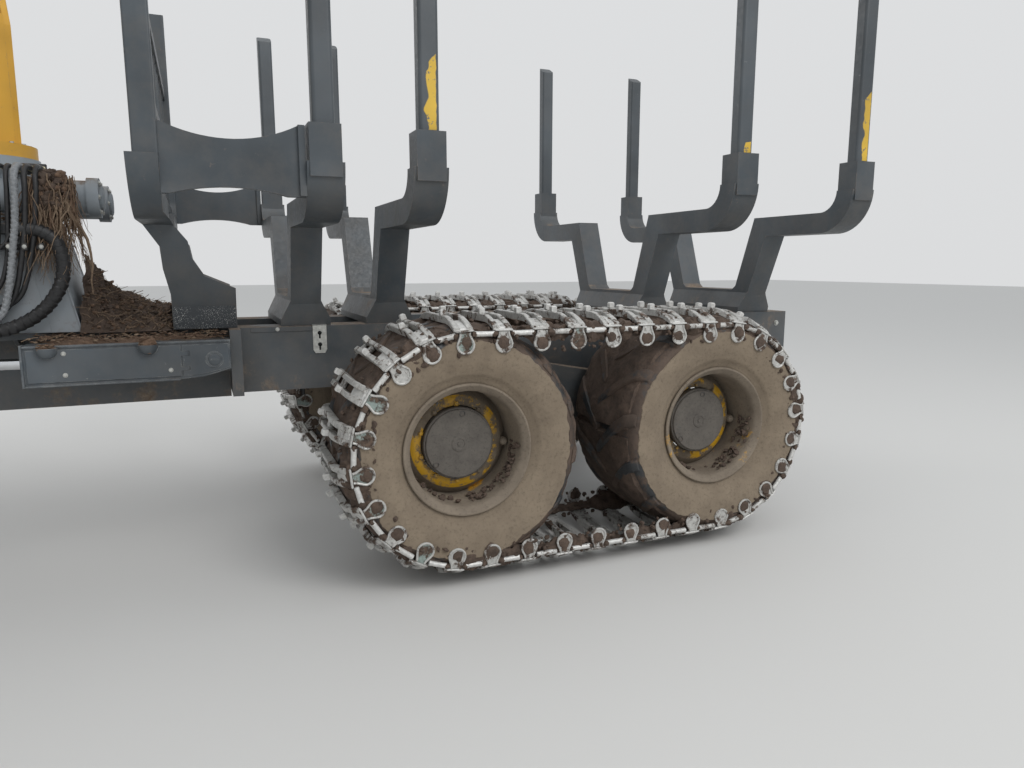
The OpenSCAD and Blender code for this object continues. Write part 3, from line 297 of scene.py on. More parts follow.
class Graph:
    """The node graph of a new material or of the world."""

    def __init__(self, name, world=False):
        self.owner = (bpy.data.worlds if world else bpy.data.materials).new(name)
        self.owner.use_nodes = True
        self.tree = self.owner.node_tree
        self.tree.nodes.clear()
        self.coord = self.add("TexCoord").outputs["Generated" if world else "Object"]

    def add(self, kind, sockets=None, **settings):
        node = self.tree.nodes.new("ShaderNode" + kind)
        for key, value in settings.items():
            setattr(node, key, value)
        for key, value in (sockets or {}).items():
            if isinstance(value, bpy.types.NodeSocket):
                self.tree.links.new(value, node.inputs[key])
            else:
                node.inputs[key].default_value = value
        return node

    def noise(self, scale, detail=4.0, rough=0.6, stretch=None):
        coord = self.coord
        if stretch:
            coord = self.add("Mapping", {"Vector": coord, "Scale": stretch}).outputs[0]
        return self.add("TexNoise", {"Vector": coord, "Scale": scale, "Detail": detail,
                                     "Roughness": rough}).outputs["Fac"]

    def ramp(self, fac, low, high, bottom=0.0, top=1.0):
        return self.add("MapRange", {"Value": fac, "From Min": low, "From Max": high, "To Min": bottom,
                                     "To Max": top}).outputs[0]

    def maths(self, kind, a, b):
        return self.add("Math", {0: a, 1: b}, operation=kind).outputs[0]

    def times(self, a, b):
        return self.maths("MULTIPLY", a, b)

    def plus(self, a, b):
        return self.maths("ADD", a, b)

    def most(self, a, b):
        return self.maths("MAXIMUM", a, b)

    def mix(self, fac, a, b):
        a, b = ((*c, 1.0) if isinstance(c, tuple) else c for c in (a, b))
        return self.add("Mix", {0: fac, 6: a, 7: b}, data_type="RGBA").outputs[2]

    def number(self, fac, a, b):
        return self.add("Mix", {0: fac, 2: a, 3: b}, data_type="FLOAT").outputs[0]

    def bump(self, height, strength, distance):
        return self.add("Bump", {"Height": height, "Strength": strength, "Distance": distance}).outputs[0]

    def z_of(self, vector):
        return self.add("SeparateXYZ", {"Vector": vector}).outputs["Z"]

    def normal(self):
        return self.add("NewGeometry").outputs["Normal"]

    def edges(self):
        """1 along outer edges, from the difference between the rounded and the true normal."""
        soft = self.add("Bevel", {"Radius": 0.006}, samples=4).outputs[0]
        dot = self.add("VectorMath", {0: soft, 1: self.normal()}, operation="DOT_PRODUCT")
        return self.ramp(dot.outputs["Value"], 0.995, 0.93)

    def shade(self, color, rough, normal=None, metallic=0.0, **extra):
        sockets = {"Base Color": color, "Roughness": rough, "Metallic": metallic}
        if normal is not None:
            sockets["Normal"] = normal
        return self.show(self.add("BsdfPrincipled", {**sockets, **extra}))

    def show(self, shader, kind="Material"):
        self.add("Output" + kind, {"Surface": shader.outputs[0]})
        return self.owner


def scaled(color, share):
    return tuple(min(1.0, c * share) for c in color)


MUD_DARK, MUD_BROWN, MUD_DRY = (0.052, 0.036, 0.027), (0.12, 0.082, 0.06), (0.245, 0.195, 0.145)


def painted(name, color, gloss, dirt, low=0.6, high=2.2, wear=0.5, under=(0.16, 0.13, 0.11), chips=0.58):
    """Paint with fading, scratches, worn edges, and dust and mud that thin out with height."""
    g = Graph(name)
    broad, fine, streak = g.noise(1.3, 3), g.noise(38, 5, 0.7), g.noise(9, 4, 0.6, (1.0, 1.0, 0.12))
    dark = scaled(color, 0.72)
    pale = tuple(min(1.0, c * 1.22 + 0.012) for c in color)
    base = g.mix(g.ramp(broad, 0.35, 0.65), dark, pale)
    base = g.mix(g.ramp(streak, 0.55, 0.75, 0.0, 0.35), base, dark)
    edges = g.times(g.edges(), g.ramp(g.noise(14, 4, 0.7), 0.62 - wear * 0.3, 0.66))
    spots = g.ramp(g.noise(22, 6, 0.75), chips + 0.06, chips + 0.09)
    base = g.mix(g.most(edges, g.times(spots, wear)), base, under)
    height = g.z_of(g.coord)
    up = g.z_of(g.normal())
    lowness = g.ramp(height, high, low)
    flat = g.ramp(up, 0.3, 0.95, 0.0, 0.55)
    amount = g.plus(g.times(lowness, 0.5), flat)
    clumps = g.plus(g.noise(4.5, 6, 0.7), g.times(amount, 0.42))
    mud = g.ramp(clumps, 0.92 - dirt * 0.34, 1.06 - dirt * 0.34)
    dust = g.times(g.ramp(clumps, 0.42, 0.95), 0.55 * dirt)
    tone = g.mix(g.ramp(fine, 0.35, 0.65), MUD_BROWN, MUD_DRY)
    base = g.mix(mud, g.mix(dust, base, MUD_DRY), tone)
    rough = g.number(g.most(mud, dust), g.ramp(fine, 0.3, 0.7, gloss - 0.08, gloss + 0.14), 0.9)
    return g.shade(base, rough, g.bump(g.plus(g.times(mud, fine), g.times(broad, 0.3)), 0.35, 0.006))


def mud_coat(name, tone_a, tone_b, under=None, cover=0.5, scale=7.0, grain=0.5, wet=0.85):
    """Mud over another colour. cover is how much of it the mud hides."""
    g = Graph(name)
    fine, mid = g.noise(60, 6, 0.7), g.noise(scale, 7, 0.65)
    tone = g.mix(g.ramp(mid, 0.3, 0.7), tone_a, tone_b)
    tone = g.mix(g.ramp(fine, 0.52, 0.72, 0.0, 0.6), tone, scaled(tone_a, 0.45))
    rough = wet
    if under is not None:
        edge = 0.38 + (0.5 - cover) * 0.5
        patch = g.ramp(g.noise(scale * 0.55, 8, 0.72), edge, edge + 0.06)
        tone = g.mix(patch, under, tone)
        rough = g.number(patch, 0.42, wet)
    return g.shade(tone, rough, g.bump(g.plus(mid, g.times(fine, 0.5)), grain, 0.008))


def worn_steel(name, bright, cover):
    """Ground-polished steel with mud in its hollows."""
    g = Graph(name)
    fine = g.noise(55, 6, 0.7)
    patch = g.ramp(g.noise(11, 8, 0.75), 0.6 - cover * 0.3, 0.67 - cover * 0.3)
    steel = g.mix(g.ramp(fine, 0.3, 0.7), scaled(bright, 0.62), bright)
    color = g.mix(patch, steel, g.mix(g.ramp(fine, 0.4, 0.6), MUD_DARK, MUD_BROWN))
    metal = g.times(g.maths("SUBTRACT", 1.0, patch), 0.3)
    return g.shade(color, g.number(patch, 0.42, 0.92), g.bump(g.plus(fine, patch), 0.4, 0.006), metal)


def plain(name, color, rough, metallic, scale, vary, grain, **extra):
    """A cleaner surface with some variation of colour and gloss."""
    g = Graph(name)
    field = g.noise(scale, 5, 0.65)
    tone = g.mix(g.ramp(field, 0.3, 0.7), scaled(color, 1 - vary), scaled(color, 1 + vary))
    gloss = g.ramp(g.noise(scale * 0.3, 4), 0.3, 0.7, max(0.03, rough - 0.08), min(1.0, rough + 0.1))
    return g.shade(tone, gloss, g.bump(field, grain, 0.002), metallic, **extra)


def gritty(name, color, grains):
    """Dark paint sprinkled with pale grit."""
    g = Graph(name)
    spots = g.times(g.ramp(g.noise(190, 2, 0.5), 0.6, 0.64), g.ramp(g.noise(9, 4), 0.34, 0.52))
    rough = g.number(spots, 0.5, 0.9)
    return g.shade(g.mix(spots, color, grains), rough, g.bump(spots, 0.6, 0.003))


def glass(name):
    g = Graph(name)
    smear = g.ramp(g.noise(6, 6, 0.7), 0.45, 0.8, 0.0, 0.35)
    clear = g.add("BsdfPrincipled", {"Base Color": (0.75, 0.82, 0.82, 1), "Roughness": 0.03, "IOR": 1.45,
                                     "Alpha": 0.22, "Specular IOR Level": 0.8})
    dusty = g.add("BsdfPrincipled", {"Base Color": (0.3, 0.27, 0.22, 1), "Roughness": 0.8, "Alpha": 0.55})
    return g.show(g.add("MixShader", {0: smear, 1: clear.outputs[0], 2: dusty.outputs[0]}))


CHARCOAL = painted("charcoal_paint", (0.052, 0.064, 0.074), 0.42, dirt=0.55, wear=0.4)
STAKE_PAINT = painted("stake_paint", (0.058, 0.07, 0.08), 0.4, dirt=0.2, wear=0.55, under=(0.24, 0.25, 0.26),
                      chips=0.6)
OCHRE = painted("ochre_paint", (0.62, 0.33, 0.025), 0.34, dirt=0.2, low=1.0, high=2.6, wear=0.25)
CRANE_OCHRE = painted("crane_ochre", (0.6, 0.32, 0.028), 0.36, dirt=0.22, low=1.8, high=3.4, wear=0.5)
GREY = painted("pedestal_grey", (0.27, 0.305, 0.335), 0.45, dirt=0.55, low=1.2, high=2.4, wear=0.35)
DARK_FITTING = painted("dark_fitting", (0.022, 0.024, 0.027), 0.4, dirt=0.4, low=0.8, high=2.4, wear=0.3)
TREAD = mud_coat("tread_rubber", MUD_DARK, MUD_BROWN, under=(0.03, 0.032, 0.034), cover=0.38, scale=4.5,
                 grain=0.6, wet=0.8)
SIDEWALL = mud_coat("sidewall_mud", (0.17, 0.132, 0.094), (0.245, 0.194, 0.138), scale=5.0, grain=0.35,
                    wet=0.9)
RIM_MUD = mud_coat("rim_mud", (0.15, 0.12, 0.09), (0.25, 0.205, 0.155), under=(0.56, 0.3, 0.02), cover=0.6,
                   scale=4.2, grain=0.3)
HUB = mud_coat("hub_cover", (0.09, 0.08, 0.07), (0.145, 0.13, 0.112), under=(0.065, 0.065, 0.066), cover=0.62,
               scale=9.0, grain=0.25)
YELLOW_RING = mud_coat("rim_yellow", (0.11, 0.085, 0.06), (0.2, 0.16, 0.112), under=(0.5, 0.275, 0.012),
                       cover=0.36, scale=13.0, grain=0.5)
OLD_YELLOW = painted("old_yellow", (0.66, 0.42, 0.035), 0.5, dirt=0.25, wear=1.0, under=(0.1, 0.11, 0.12),
                     chips=0.52)
TRACK_STEEL = worn_steel("track_steel", (0.6, 0.59, 0.56), cover=0.3)
STUD_STEEL = worn_steel("stud_steel", (0.72, 0.71, 0.68), cover=0.05)
GREENISH = worn_steel("tongue_steel", (0.33, 0.395, 0.365), cover=0.5)
LITTER = mud_coat("bark_litter", (0.095, 0.056, 0.036), (0.215, 0.138, 0.09), scale=40, grain=0.8, wet=0.9)
TWIG = mud_coat("dry_twigs", (0.11, 0.07, 0.045), (0.33, 0.24, 0.16), scale=60, grain=0.5, wet=0.85)
BOX_PAINT = painted("box_paint", (0.06, 0.075, 0.088), 0.36, dirt=0.35, low=0.3, high=1.6, wear=0.7,
                    under=(0.26, 0.27, 0.27), chips=0.6)
SPECKLED = gritty("gritty_plate", (0.05, 0.056, 0.062), (0.46, 0.46, 0.44))
GUARD_GREY = plain("hose_guard", (0.22, 0.23, 0.24), 0.45, 0.0, 60, 0.35, 0.3)
RED = plain("tail_lens", (0.45, 0.012, 0.01), 0.15, 0.0, 30, 0.2, 0.05, **{"Coat Weight": 0.5})
FABRIC = plain("seat_fabric", (0.04, 0.042, 0.047), 0.85, 0.0, 420, 0.55, 0.6, **{"Sheen Weight": 0.3})
MUD = mud_coat("caked_mud", MUD_DARK, MUD_BROWN, scale=18, grain=1.0, wet=0.88)
CHROME = plain("rod_chrome", (0.66, 0.67, 0.69), 0.12, 1.0, 25, 0.05, 0.02)
HOSE = plain("hose_rubber", (0.018, 0.018, 0.019), 0.5, 0.0, 45, 0.4, 0.4)
FITTING = plain("hose_fitting", (0.42, 0.38, 0.26), 0.38, 0.8, 60, 0.3, 0.2)
ZINC = plain("zinc_plate", (0.5, 0.5, 0.47), 0.45, 0.7, 40, 0.25, 0.2)
IRON = plain("engine_iron", (0.11, 0.11, 0.11), 0.6, 0.5, 12, 0.35, 0.5)
RUBBER = plain("seal_rubber", (0.02, 0.02, 0.02), 0.6, 0.0, 50, 0.3, 0.2)
PLASTIC = plain("dark_plastic", (0.028, 0.029, 0.031), 0.5, 0.0, 90, 0.25, 0.35)
SOOT = plain("exhaust_soot", (0.1, 0.085, 0.075), 0.7, 0.6, 14, 0.5, 0.4)
# Black for the grille's wires and the tail lamp's case, and painted shade in the bracket's keyholes
BLACK_AND_HOLE_SHADE = plain("black_parts_and_hole_shade", (0.012, 0.012, 0.012), 0.7, 0.3, 80, 0.3, 0.3)
LENS = plain("lamp_lens", (0.8, 0.82, 0.8), 0.08, 0.0, 20, 0.05, 0.02, **{"Coat Weight": 0.6})
AMBER = plain("beacon_amber", (0.75, 0.25, 0.02), 0.15, 0.0, 20, 0.1, 0.02, **{"Coat Weight": 0.5})
MIRROR = plain("mirror_face", (0.8, 0.82, 0.84), 0.04, 1.0, 5, 0.02, 0.0)
GLASS = glass("cab_glazing")

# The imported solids: finish and softened edges

def both(*names):
    return tuple(f"{name}_{letter}" for name in names for letter in "lr")


WHEELS = ("l1", "l2", "r1", "r2")
FINISHES = {
    CHARCOAL: ("rear_frame", "bolsters", "gate_foot", "load_gate", "side_boxes", "center_joint",
               "front_frame", "front_axle", "fenders", *both("front_bogie", "rear_bogie"), "hanging_link",
               "grapple_head", "jaw_outer", "jaw_inner"),
    STAKE_PAINT: ("stakes",),
    OCHRE: ("cab_shell", "cab_door", "bonnet"),
    CRANE_OCHRE: ("crane_pillar", "main_boom", "outer_boom"),
    GREY: ("crane_base",),
    DARK_FITTING: (*both("steer_barrel"), "lift_barrel", "jib_barrel", "work_lights", "rotator"),
    CHROME: (*both("steer_rod"), "lift_rod", "jib_rod"),
    ZINC: ("extension",),
    IRON: ("engine_block",),
    GLASS: ("cab_glass", "door_glass"),
    HOSE: ("crane_hoses",),
    PLASTIC: ("cab_seat",),
    TREAD: (*("front_tyre_" + w for w in WHEELS), *both("rear_tyres")),
    RIM_MUD: (*("front_rim_" + w for w in WHEELS), *both("rear_rims")),
    TRACK_STEEL: both("track"),
}
# Widths of the softened edges
SOFT_EDGES = {
    0.003: ("rotator", "stakes"),
    0.004: ("side_boxes", "extension", "grapple_head", "jaw_outer", "jaw_inner", "hanging_link",
            "front_axle"),
    0.005: ("rear_frame", "crane_base", "fenders", "center_joint"),
    0.006: ("load_gate", "front_frame", "main_boom", "outer_boom", "crane_pillar", "gate_foot"),
    0.007: ("bolsters", "cab_door"),
    0.008: both("front_bogie", "rear_bogie"),
    0.009: ("bonnet",),
    0.014: ("cab_shell",),
    0.02: ("engine_block",),
}
for finish, names in FINISHES.items():
    for name in names:
        NODES[name].data.materials.clear()
        NODES[name].data.materials.append(finish)
for width, names in SOFT_EDGES.items():
    for name in names:
        soft = NODES[name].modifiers.new("soft_edges", "BEVEL")
        soft.width = width
        soft.segments = 2
        soft.limit_method = "ANGLE"
        soft.angle_limit = radians(40)
        soft.harden_normals = True


# Wheels

def crown(y):
    """How far the tread's top lies below its middle, at that distance from it."""
    share = max(0.0, (abs(y) - 0.2) / 0.15)
    return -0.042 * share ** 1.8


SIDE = [(0.331, 0.28), (0.345, 0.285), (0.372, 0.296), (0.39, 0.302), (0.405, 0.318), (0.42, 0.329),
        (0.429, 0.331), (0.438, 0.336), (0.47, 0.347), (0.51, 0.3545), (0.545, 0.354), (0.57, 0.351),
        (0.576, 0.3545), (0.584, 0.3535), (0.6, 0.345), (0.617, 0.328), (0.629, 0.29), (0.6345, 0.23),
        (0.6375, 0.13), (0.6385, 0.0)]


def side_at(radius):
    """Distance of the sidewall's surface from the tyre's middle plane."""
    for (r0, y0), (r1, y1) in zip(SIDE, SIDE[1:]):
        if radius <= r1:
            return y0 + (y1 - y0) * (radius - r0) / (r1 - r0)
    return 0.0


def mean_radius(verts, face):
    return sum(hypot(verts[i][0], verts[i][2]) for i in face) / len(face)


def dry_crust(form, at, seed):
    """Dried mud on the outer sidewall. Its ragged rim stands proud of the rubber."""
    layers = ((0, -0.002), (0.04, 0.0012), (0.35, 0.0018), (0.7, 0.0028), (0.9, 0.0045), (0.985, 0.0038),
              (1, -0.002))
    rings, inside = [], 0.394
    for a in angles(320):
        spot = Vector((cos(a), sin(a), seed * 3.1))
        rim = 0.586 + 0.024 * noise(spot * 2.2) + 0.012 * noise(spot * 9) + 0.006 * noise(spot * 27)
        ring = []
        for share, thick in layers:
            r = inside + (rim - inside) * share
            ring.append(polar(r, a, side_at(r) + thick + 0.0012 * noise(spot * 14 + Vector((0, 0, r * 40)))))
        rings.append(ring)
    form.add(*strip(rings, closed_ring=False, closed_run=True), 1, at)


LUGS = 28
# Distance from the middle, turn of the arc, half width and drop below the crown, all along one lug
LUG_RUN = ((-0.012, -0.01, 0.02, 0.004), (0.01, 0.006, 0.03, 0.0), (0.11, 0.09, 0.031, 0.0),
           (0.215, 0.17, 0.033, 0.0), (0.285, 0.218, 0.036, 0.002), (0.33, 0.232, 0.038, 0.006),
           (0.35, 0.236, 0.036, 0.02))


def tyre_body(form, at):
    """Carcass with mud-covered sidewalls, and angled lugs."""
    verts, faces = lathe([(r, -y) for r, y in SIDE] + [(r, y) for r, y in reversed(SIDE[:-1])], 96)
    form.add(verts, [f for f in faces if mean_radius(verts, f) <= 0.56], 1, at)
    form.add(verts, [f for f in faces if mean_radius(verts, f) > 0.56], 0, at)
    for k in range(LUGS):
        rings = []
        for y, turn, wide, drop in LUG_RUN:
            top = TYRE_R + crown(y) - drop
            low = 0.6 if y > 0.3 else 0.628
            mid = tau * k / LUGS + turn / 0.64
            rings.append([polar(r, mid + w / 0.65, y if k % 2 else -y) for w, r in (
                (-wide - 0.009, low), (-wide, top - 0.006), (-wide + 0.007, top), (wide - 0.007, top),
                (wide, top - 0.006), (wide + 0.009, low))])
        form.add(*strip(rings), 0, at)


def mud_ring(form, at, seed, top):
    """Caked mud between the lugs: a rough band that sinks below the rubber in places."""
    rings, steps, reach = [], 150, 0.335
    for i in range(steps + 1):
        a = tau * i / steps
        ring = []
        for y in (reach * (-1 + 2 * j / 22) for j in range(23)):
            p = Vector((cos(a) * 0.65, y, sin(a) * 0.65))
            swell = (noise(p * 5 + Vector((seed * 5.1, 0, 0))) * 0.022 + noise(p * 17) * 0.01
                     + noise(p * 41) * 0.004)
            r = min(top + crown(y) + swell, TYRE_R + crown(y) + 0.004) - (0.055 if i in (0, steps) else 0.0)
            ring.append(polar(r - 0.05 * max(0.0, (abs(y) - 0.3) / 0.035) ** 2, a, y))
        rings.append(ring)
    form.add(*strip(rings, closed_ring=False, caps=False), 2, at)


def rim_body(form, at):
    """Barrel with lips, dished disc, hub sleeve, hub cover and its small parts. +Y is the outer side."""
    lip = [(0.346, 0.3095), (0.3505, 0.3125), (0.3565, 0.312), (0.3605, 0.3085), (0.3615, 0.303),
           (0.359, 0.2985), (0.352, 0.296), (0.344, 0.2905), (0.3345, 0.2845), (0.33, 0.278)]
    inner = [(0.314, 0.25), (0.316, 0.275), (0.323, 0.288), (0.333, 0.2965), (0.34, 0.304)]
    far = [(r, -y) for r, y in reversed(lip)] + [(r, -y) for r, y in reversed(inner)]
    form.turned(lip + far + [(0.31, -0.18), (0.31, 0.02), (0.306, 0.14), (0.31, 0.2)] + inner, 96, 0, at)
    verts, faces = lathe([(0.311, 0.005), (0.311, 0.03), (0.3, 0.042), (0.285, 0.062), (0.265, 0.083),
                          (0.245, 0.093), (0.23, 0.095), (0.208, 0.095), (0.208, 0.065), (0.23, 0.064),
                          (0.255, 0.055), (0.275, 0.035), (0.29, 0.01)], 80)
    form.add(verts, [f for f in faces if mean_radius(verts, f) < 0.262], 3, at)
    form.add(verts, [f for f in faces if mean_radius(verts, f) >= 0.262], 0, at)
    form.capped([(0, 0.07), (0.185, 0.07), (0.185, 0.094), (HUB_R, 0.0945), (HUB_R, 0.128), (0.199, 0.133),
                 (0.193, 0.134), (0.192, 0.141), (0.188, 0.1445), (0.046, 0.1452), (0.044, 0.148),
                 (0.038, 0.15), (0.03, 0.15), (0.027, 0.147), (0.013, 0.147), (0.011, 0.152), (0, 0.152)], 64,
                1, at)
    form.turned([(0.15, -0.09), (0.185, -0.09), (0.185, 0.078), (0.15, 0.078)], 48, 1, at)
    # Fill plugs near the hub cover's edge, wheel nuts, knob and air valve
    for degrees, r in ((-38, 0.172), (96, 0.168)):
        form.capped([(0, -0.004), (0.017, -0.004), (0.017, 0.0015), (0.013, 0.0025), (0.012, -0.002),
                     (0, -0.002)], 16, 2, at @ shift(*polar(r, radians(degrees), 0.1455)))
    for k in range(10):
        form.add(*bolt(0.0125, 0.012), 3, at @ facing(polar(0.218, tau * (k + 0.5) / 10, 0.095), (0, 1, 0)))
    form.capped([(0, 0.0), (0.023, 0.0), (0.024, 0.03), (0.021, 0.042), (0.013, 0.049), (0, 0.05)], 20, 0,
                at @ shift(*polar(0.28, radians(184), 0.07)))
    form.pipe([polar(r, radians(60), y) for r, y in ((0.305, 0.15), (0.29, 0.18), (0.288, 0.215))], 0.007, 8,
              2, at)


def dirt_in_rim(form, at, seed):
    """Wet mud lying along the barrel, on the outer side."""
    rng = random.Random(seed)
    for _ in range(70):
        a = radians(rng.uniform(178, 262) if rng.random() < 0.8 else rng.uniform(275, 330))
        r = 0.308 - rng.uniform(0, 0.01)
        lump = clod(rng.uniform(0.008, 0.02), rng.random() * 9, 0.5)
        place = shift(*polar(r, a, rng.uniform(0.15, 0.26)))
        form.add(*lump, 4, at @ place @ spin(rng.uniform(0, 6), "X"))


def wheel_at(x, side, z):
    """Place of a wheel in the machine. Its +Y is the outer side on both sides of the machine."""
    place = shift(x, side * WHEEL_Y, z)
    return place if side > 0 else place @ spin(pi, "Z")


def wheel(at, name, body, crust, mud, mud_top, replaced, dirt=None):
    """Tyre and rim. replaced names both nodes, and dirt is the seed of the mud in the rim."""
    tyre = Form()
    tyre_body(tyre, at)
    dry_crust(tyre, at, crust)
    mud_ring(tyre, at, mud, mud_top)
    tyre.make(name.format("tyre"), body, [TREAD, SIDEWALL, MUD], "tyre_rubber", replaced[0])
    rim = Form()
    rim_body(rim, at)
    paints = [RIM_MUD, HUB, DARK_FITTING, YELLOW_RING]
    if dirt is not None:
        dirt_in_rim(rim, at, dirt)
        paints.append(MUD)
    rim.make(name.format("rim"), body, paints, "rim_paint", replaced[1])


for side, letter in SIDES:
    for k, x in enumerate(FRONT_AXLES, 1):
        name = f"{letter}{k}"
        wheel(wheel_at(x, side, TYRE_R), "{}_" + name, f"front_wheel_{name}", k + side * 5, k + side * 3,
              0.652, (f"front_tyre_{name}", f"front_rim_{name}"))
    for k, x in enumerate(REAR_AXLES, 1):
        wheel(wheel_at(x, side, REAR_WHEEL_Z), f"rear_{{}}_{letter}{k}", f"rear_bogie_{letter}",
              k + side * 9, 11 * k + side, 0.662, (f"rear_tyres_{letter}", f"rear_rims_{letter}"),
              k + 5 * side)


# Bogie tracks

LOOP_R = TYRE_R + 0.0003
ARC = pi * LOOP_R
LOOP = 2 * REAR_PITCH + 2 * ARC
STEP = LOOP / SHOE_N
# Places in a shoe: ribs along the loop, rods and the supports' eyes across it and outward
RIB_U, BAR_Y, BAR_Z, TONGUE_Y = 0.0345, 0.352, -0.04, 0.3625


def on_loop(d):
    """(x, z, angle of the outward direction) at that length along the loop, from the bogie's middle."""
    d %= LOOP
    half = REAR_PITCH / 2
    if d < REAR_PITCH:
        return d - half, LOOP_R, pi / 2
    if d < REAR_PITCH + ARC:
        a = pi / 2 - (d - REAR_PITCH) / LOOP_R
        return half + LOOP_R * cos(a), LOOP_R * sin(a), a
    if d < 2 * REAR_PITCH + ARC:
        return half - (d - REAR_PITCH - ARC), -LOOP_R, -pi / 2
    a = -pi / 2 - (d - 2 * REAR_PITCH - ARC) / LOOP_R
    return -half + LOOP_R * cos(a), LOOP_R * sin(a), a


def shoe_frame(d, place):
    """Matrix at that length: X along the loop, Y across, Z outward."""
    x, z, a = on_loop(d)
    return place @ shift(x, 0, z) @ spin(pi / 2 - a, "Y")


def bar_ring(mid, half, y, low, high, edge):
    """One section of a bar that lies across the loop, with chamfered upper corners."""
    return [(mid - half, y, low), (mid - half, y, high - edge), (mid - half + edge, y, high),
            (mid + half - edge, y, high), (mid + half, y, high - edge), (mid + half, y, low)]


def rib(u, rng):
    """One cross rib, arched over the tread, its top worn unevenly."""
    rings = []
    for i in range(21):
        y = -0.338 + 0.676 * i / 20
        low = crown(y) + 0.001
        high = low + 0.041 - 0.018 * max(0.0, (abs(y) - 0.19) / 0.145) - rng.uniform(0, 0.0035)
        half = 0.0135 + 0.004 * max(0.0, (abs(y) - 0.2) / 0.14)
        rings.append(bar_ring(u + 0.003 * sin(y * 9), half, y, low, high, 0.004))
    return strip(rings)


def end_plate(side):
    """Broad foot that joins the two ribs over the shoulder."""
    rings = []
    for y, thick in ((0.222, 0.004), (0.226, 0.0155), (0.255, 0.0155), (0.285, 0.0155), (0.312, 0.0155),
                     (0.336, 0.0155), (0.34, 0.004)):
        low = crown(y) + 0.001
        rings.append(bar_ring(0.0, 0.0475, side * y, low, low + thick, 0.003))
    return strip(rings)


def tongue_path():
    """Outline of a side support that hangs down the tyre's shoulder."""
    wide = 0.045
    mid = BAR_Z - 0.108 + wide
    path = [(-0.024, BAR_Z), (-0.027, BAR_Z - 0.018), (-wide + 0.004, mid + 0.014)]
    path += [(-wide * cos(a), mid - wide * sin(a)) for a in (pi * i / 10 for i in range(11))]
    return path + [(wide - 0.004, mid + 0.014), (0.027, BAR_Z - 0.018), (0.024, BAR_Z)]


def shoe_piece(form, at, rng, tongue):
    """Materials: 0 steel, 1 bright steel, 2 mud. tongue is the material of the side supports' plates."""
    for u, y in ((-RIB_U, -0.11), (RIB_U, 0.11)):
        form.add(*rib(u, rng), 0, at)
        verts, faces = slab([(-0.016, -0.017), (0.016, -0.017), (0.016, 0.017), (-0.016, 0.017)], 0.034,
                            SHOE_H - 0.0006 - rng.uniform(0, 0.006), 0.0065)
        form.add([(x + u, v + y, z) for x, v, z in verts], faces, 1, at)
    form.box((-RIB_U, -0.034, 0.004), (RIB_U, 0.034, 0.026), 0.004, 0, at)
    path = tongue_path()
    for side in (1, -1):
        form.add(*end_plate(side), 1 if rng.random() < 0.7 else 0, at)
        form.side_box(side, (-0.05, 0.05), (0.334, 0.3665), (BAR_Z + 0.002, BAR_Z + 0.013), 0.004,
                      1 if rng.random() < 0.6 else 0, at)
        y = side * TONGUE_Y
        form.pipe([(x, y, z) for x, z in path], 0.0064, 7, 0, at)
        near, far = sorted((y - side * 0.0045, y - side * 0.0005))
        form.panel([(x * 0.93, z) for x, z in path], near, far, 0.001, tongue, at)
        if rng.random() < (0.35 if tongue == 3 else 0.92):
            lump = clod(rng.uniform(0.036, 0.047), rng.random() * 9, 0.36)
            spot = shift(rng.uniform(-0.008, 0.008), y - side * 0.006, BAR_Z - rng.uniform(0.045, 0.075))
            form.add(*lump, 2, at @ spot @ spin(pi / 2, "X"))


# Share of the way and radius along a link with swaged ends
LINK = ((0.0, 0.007), (0.02, 0.014), (0.1, 0.0155), (0.2, 0.0145), (0.8, 0.0145), (0.9, 0.0155),
        (0.98, 0.014), (1.0, 0.007))


def link_rod(form, d, place, side, rng, mat):
    """Straight link between two shoes."""
    a, b = (shoe_frame(d + way * STEP / 2, place) @ Vector((-way * 0.046, side * BAR_Y, BAR_Z - 0.011))
            for way in (-1, 1))
    radii = [r + rng.uniform(-0.0005, 0.0005) for _, r in LINK]
    form.pipe([a.lerp(b, t) for t, _ in LINK], lambda s: radii[round(s * (len(radii) - 1))], 12, mat)


def peat_rope(form, place, side, seed):
    """Peat packed along the shoulder under the end plates and rods, thinner in places."""
    outline = ((0.232, -0.026), (0.256, -0.004), (0.286, -0.004), (0.314, -0.014), (0.336, -0.026),
               (0.354, -0.052), (0.354, -0.1), (0.338, -0.122), (0.3, -0.09), (0.262, -0.056))
    rings = []
    for a in angles(560):
        at = shoe_frame(LOOP * a / tau, place)
        along = Vector((cos(a) * 3.6, sin(a) * 3.6, seed * 4.0))
        size = min(1.12, max(0.35, 0.8 + 1.1 * noise(along) + 0.5 * noise(along * 4)))
        ring = []
        for k, (y, z) in enumerate(outline):
            rough = 0.02 * noise(along * 9 + Vector((0, 0, k * 0.9))) + 0.008 * noise(
                along * 30 + Vector((0, 0, k * 2.1)))
            ring.append(at @ Vector((0, side * min(0.364, 0.296 + (y - 0.296) * size + rough),
                                     -0.046 + (z + 0.046) * size + rough)))
        rings.append(ring)
    form.add(*strip(rings, closed_run=True), 2)


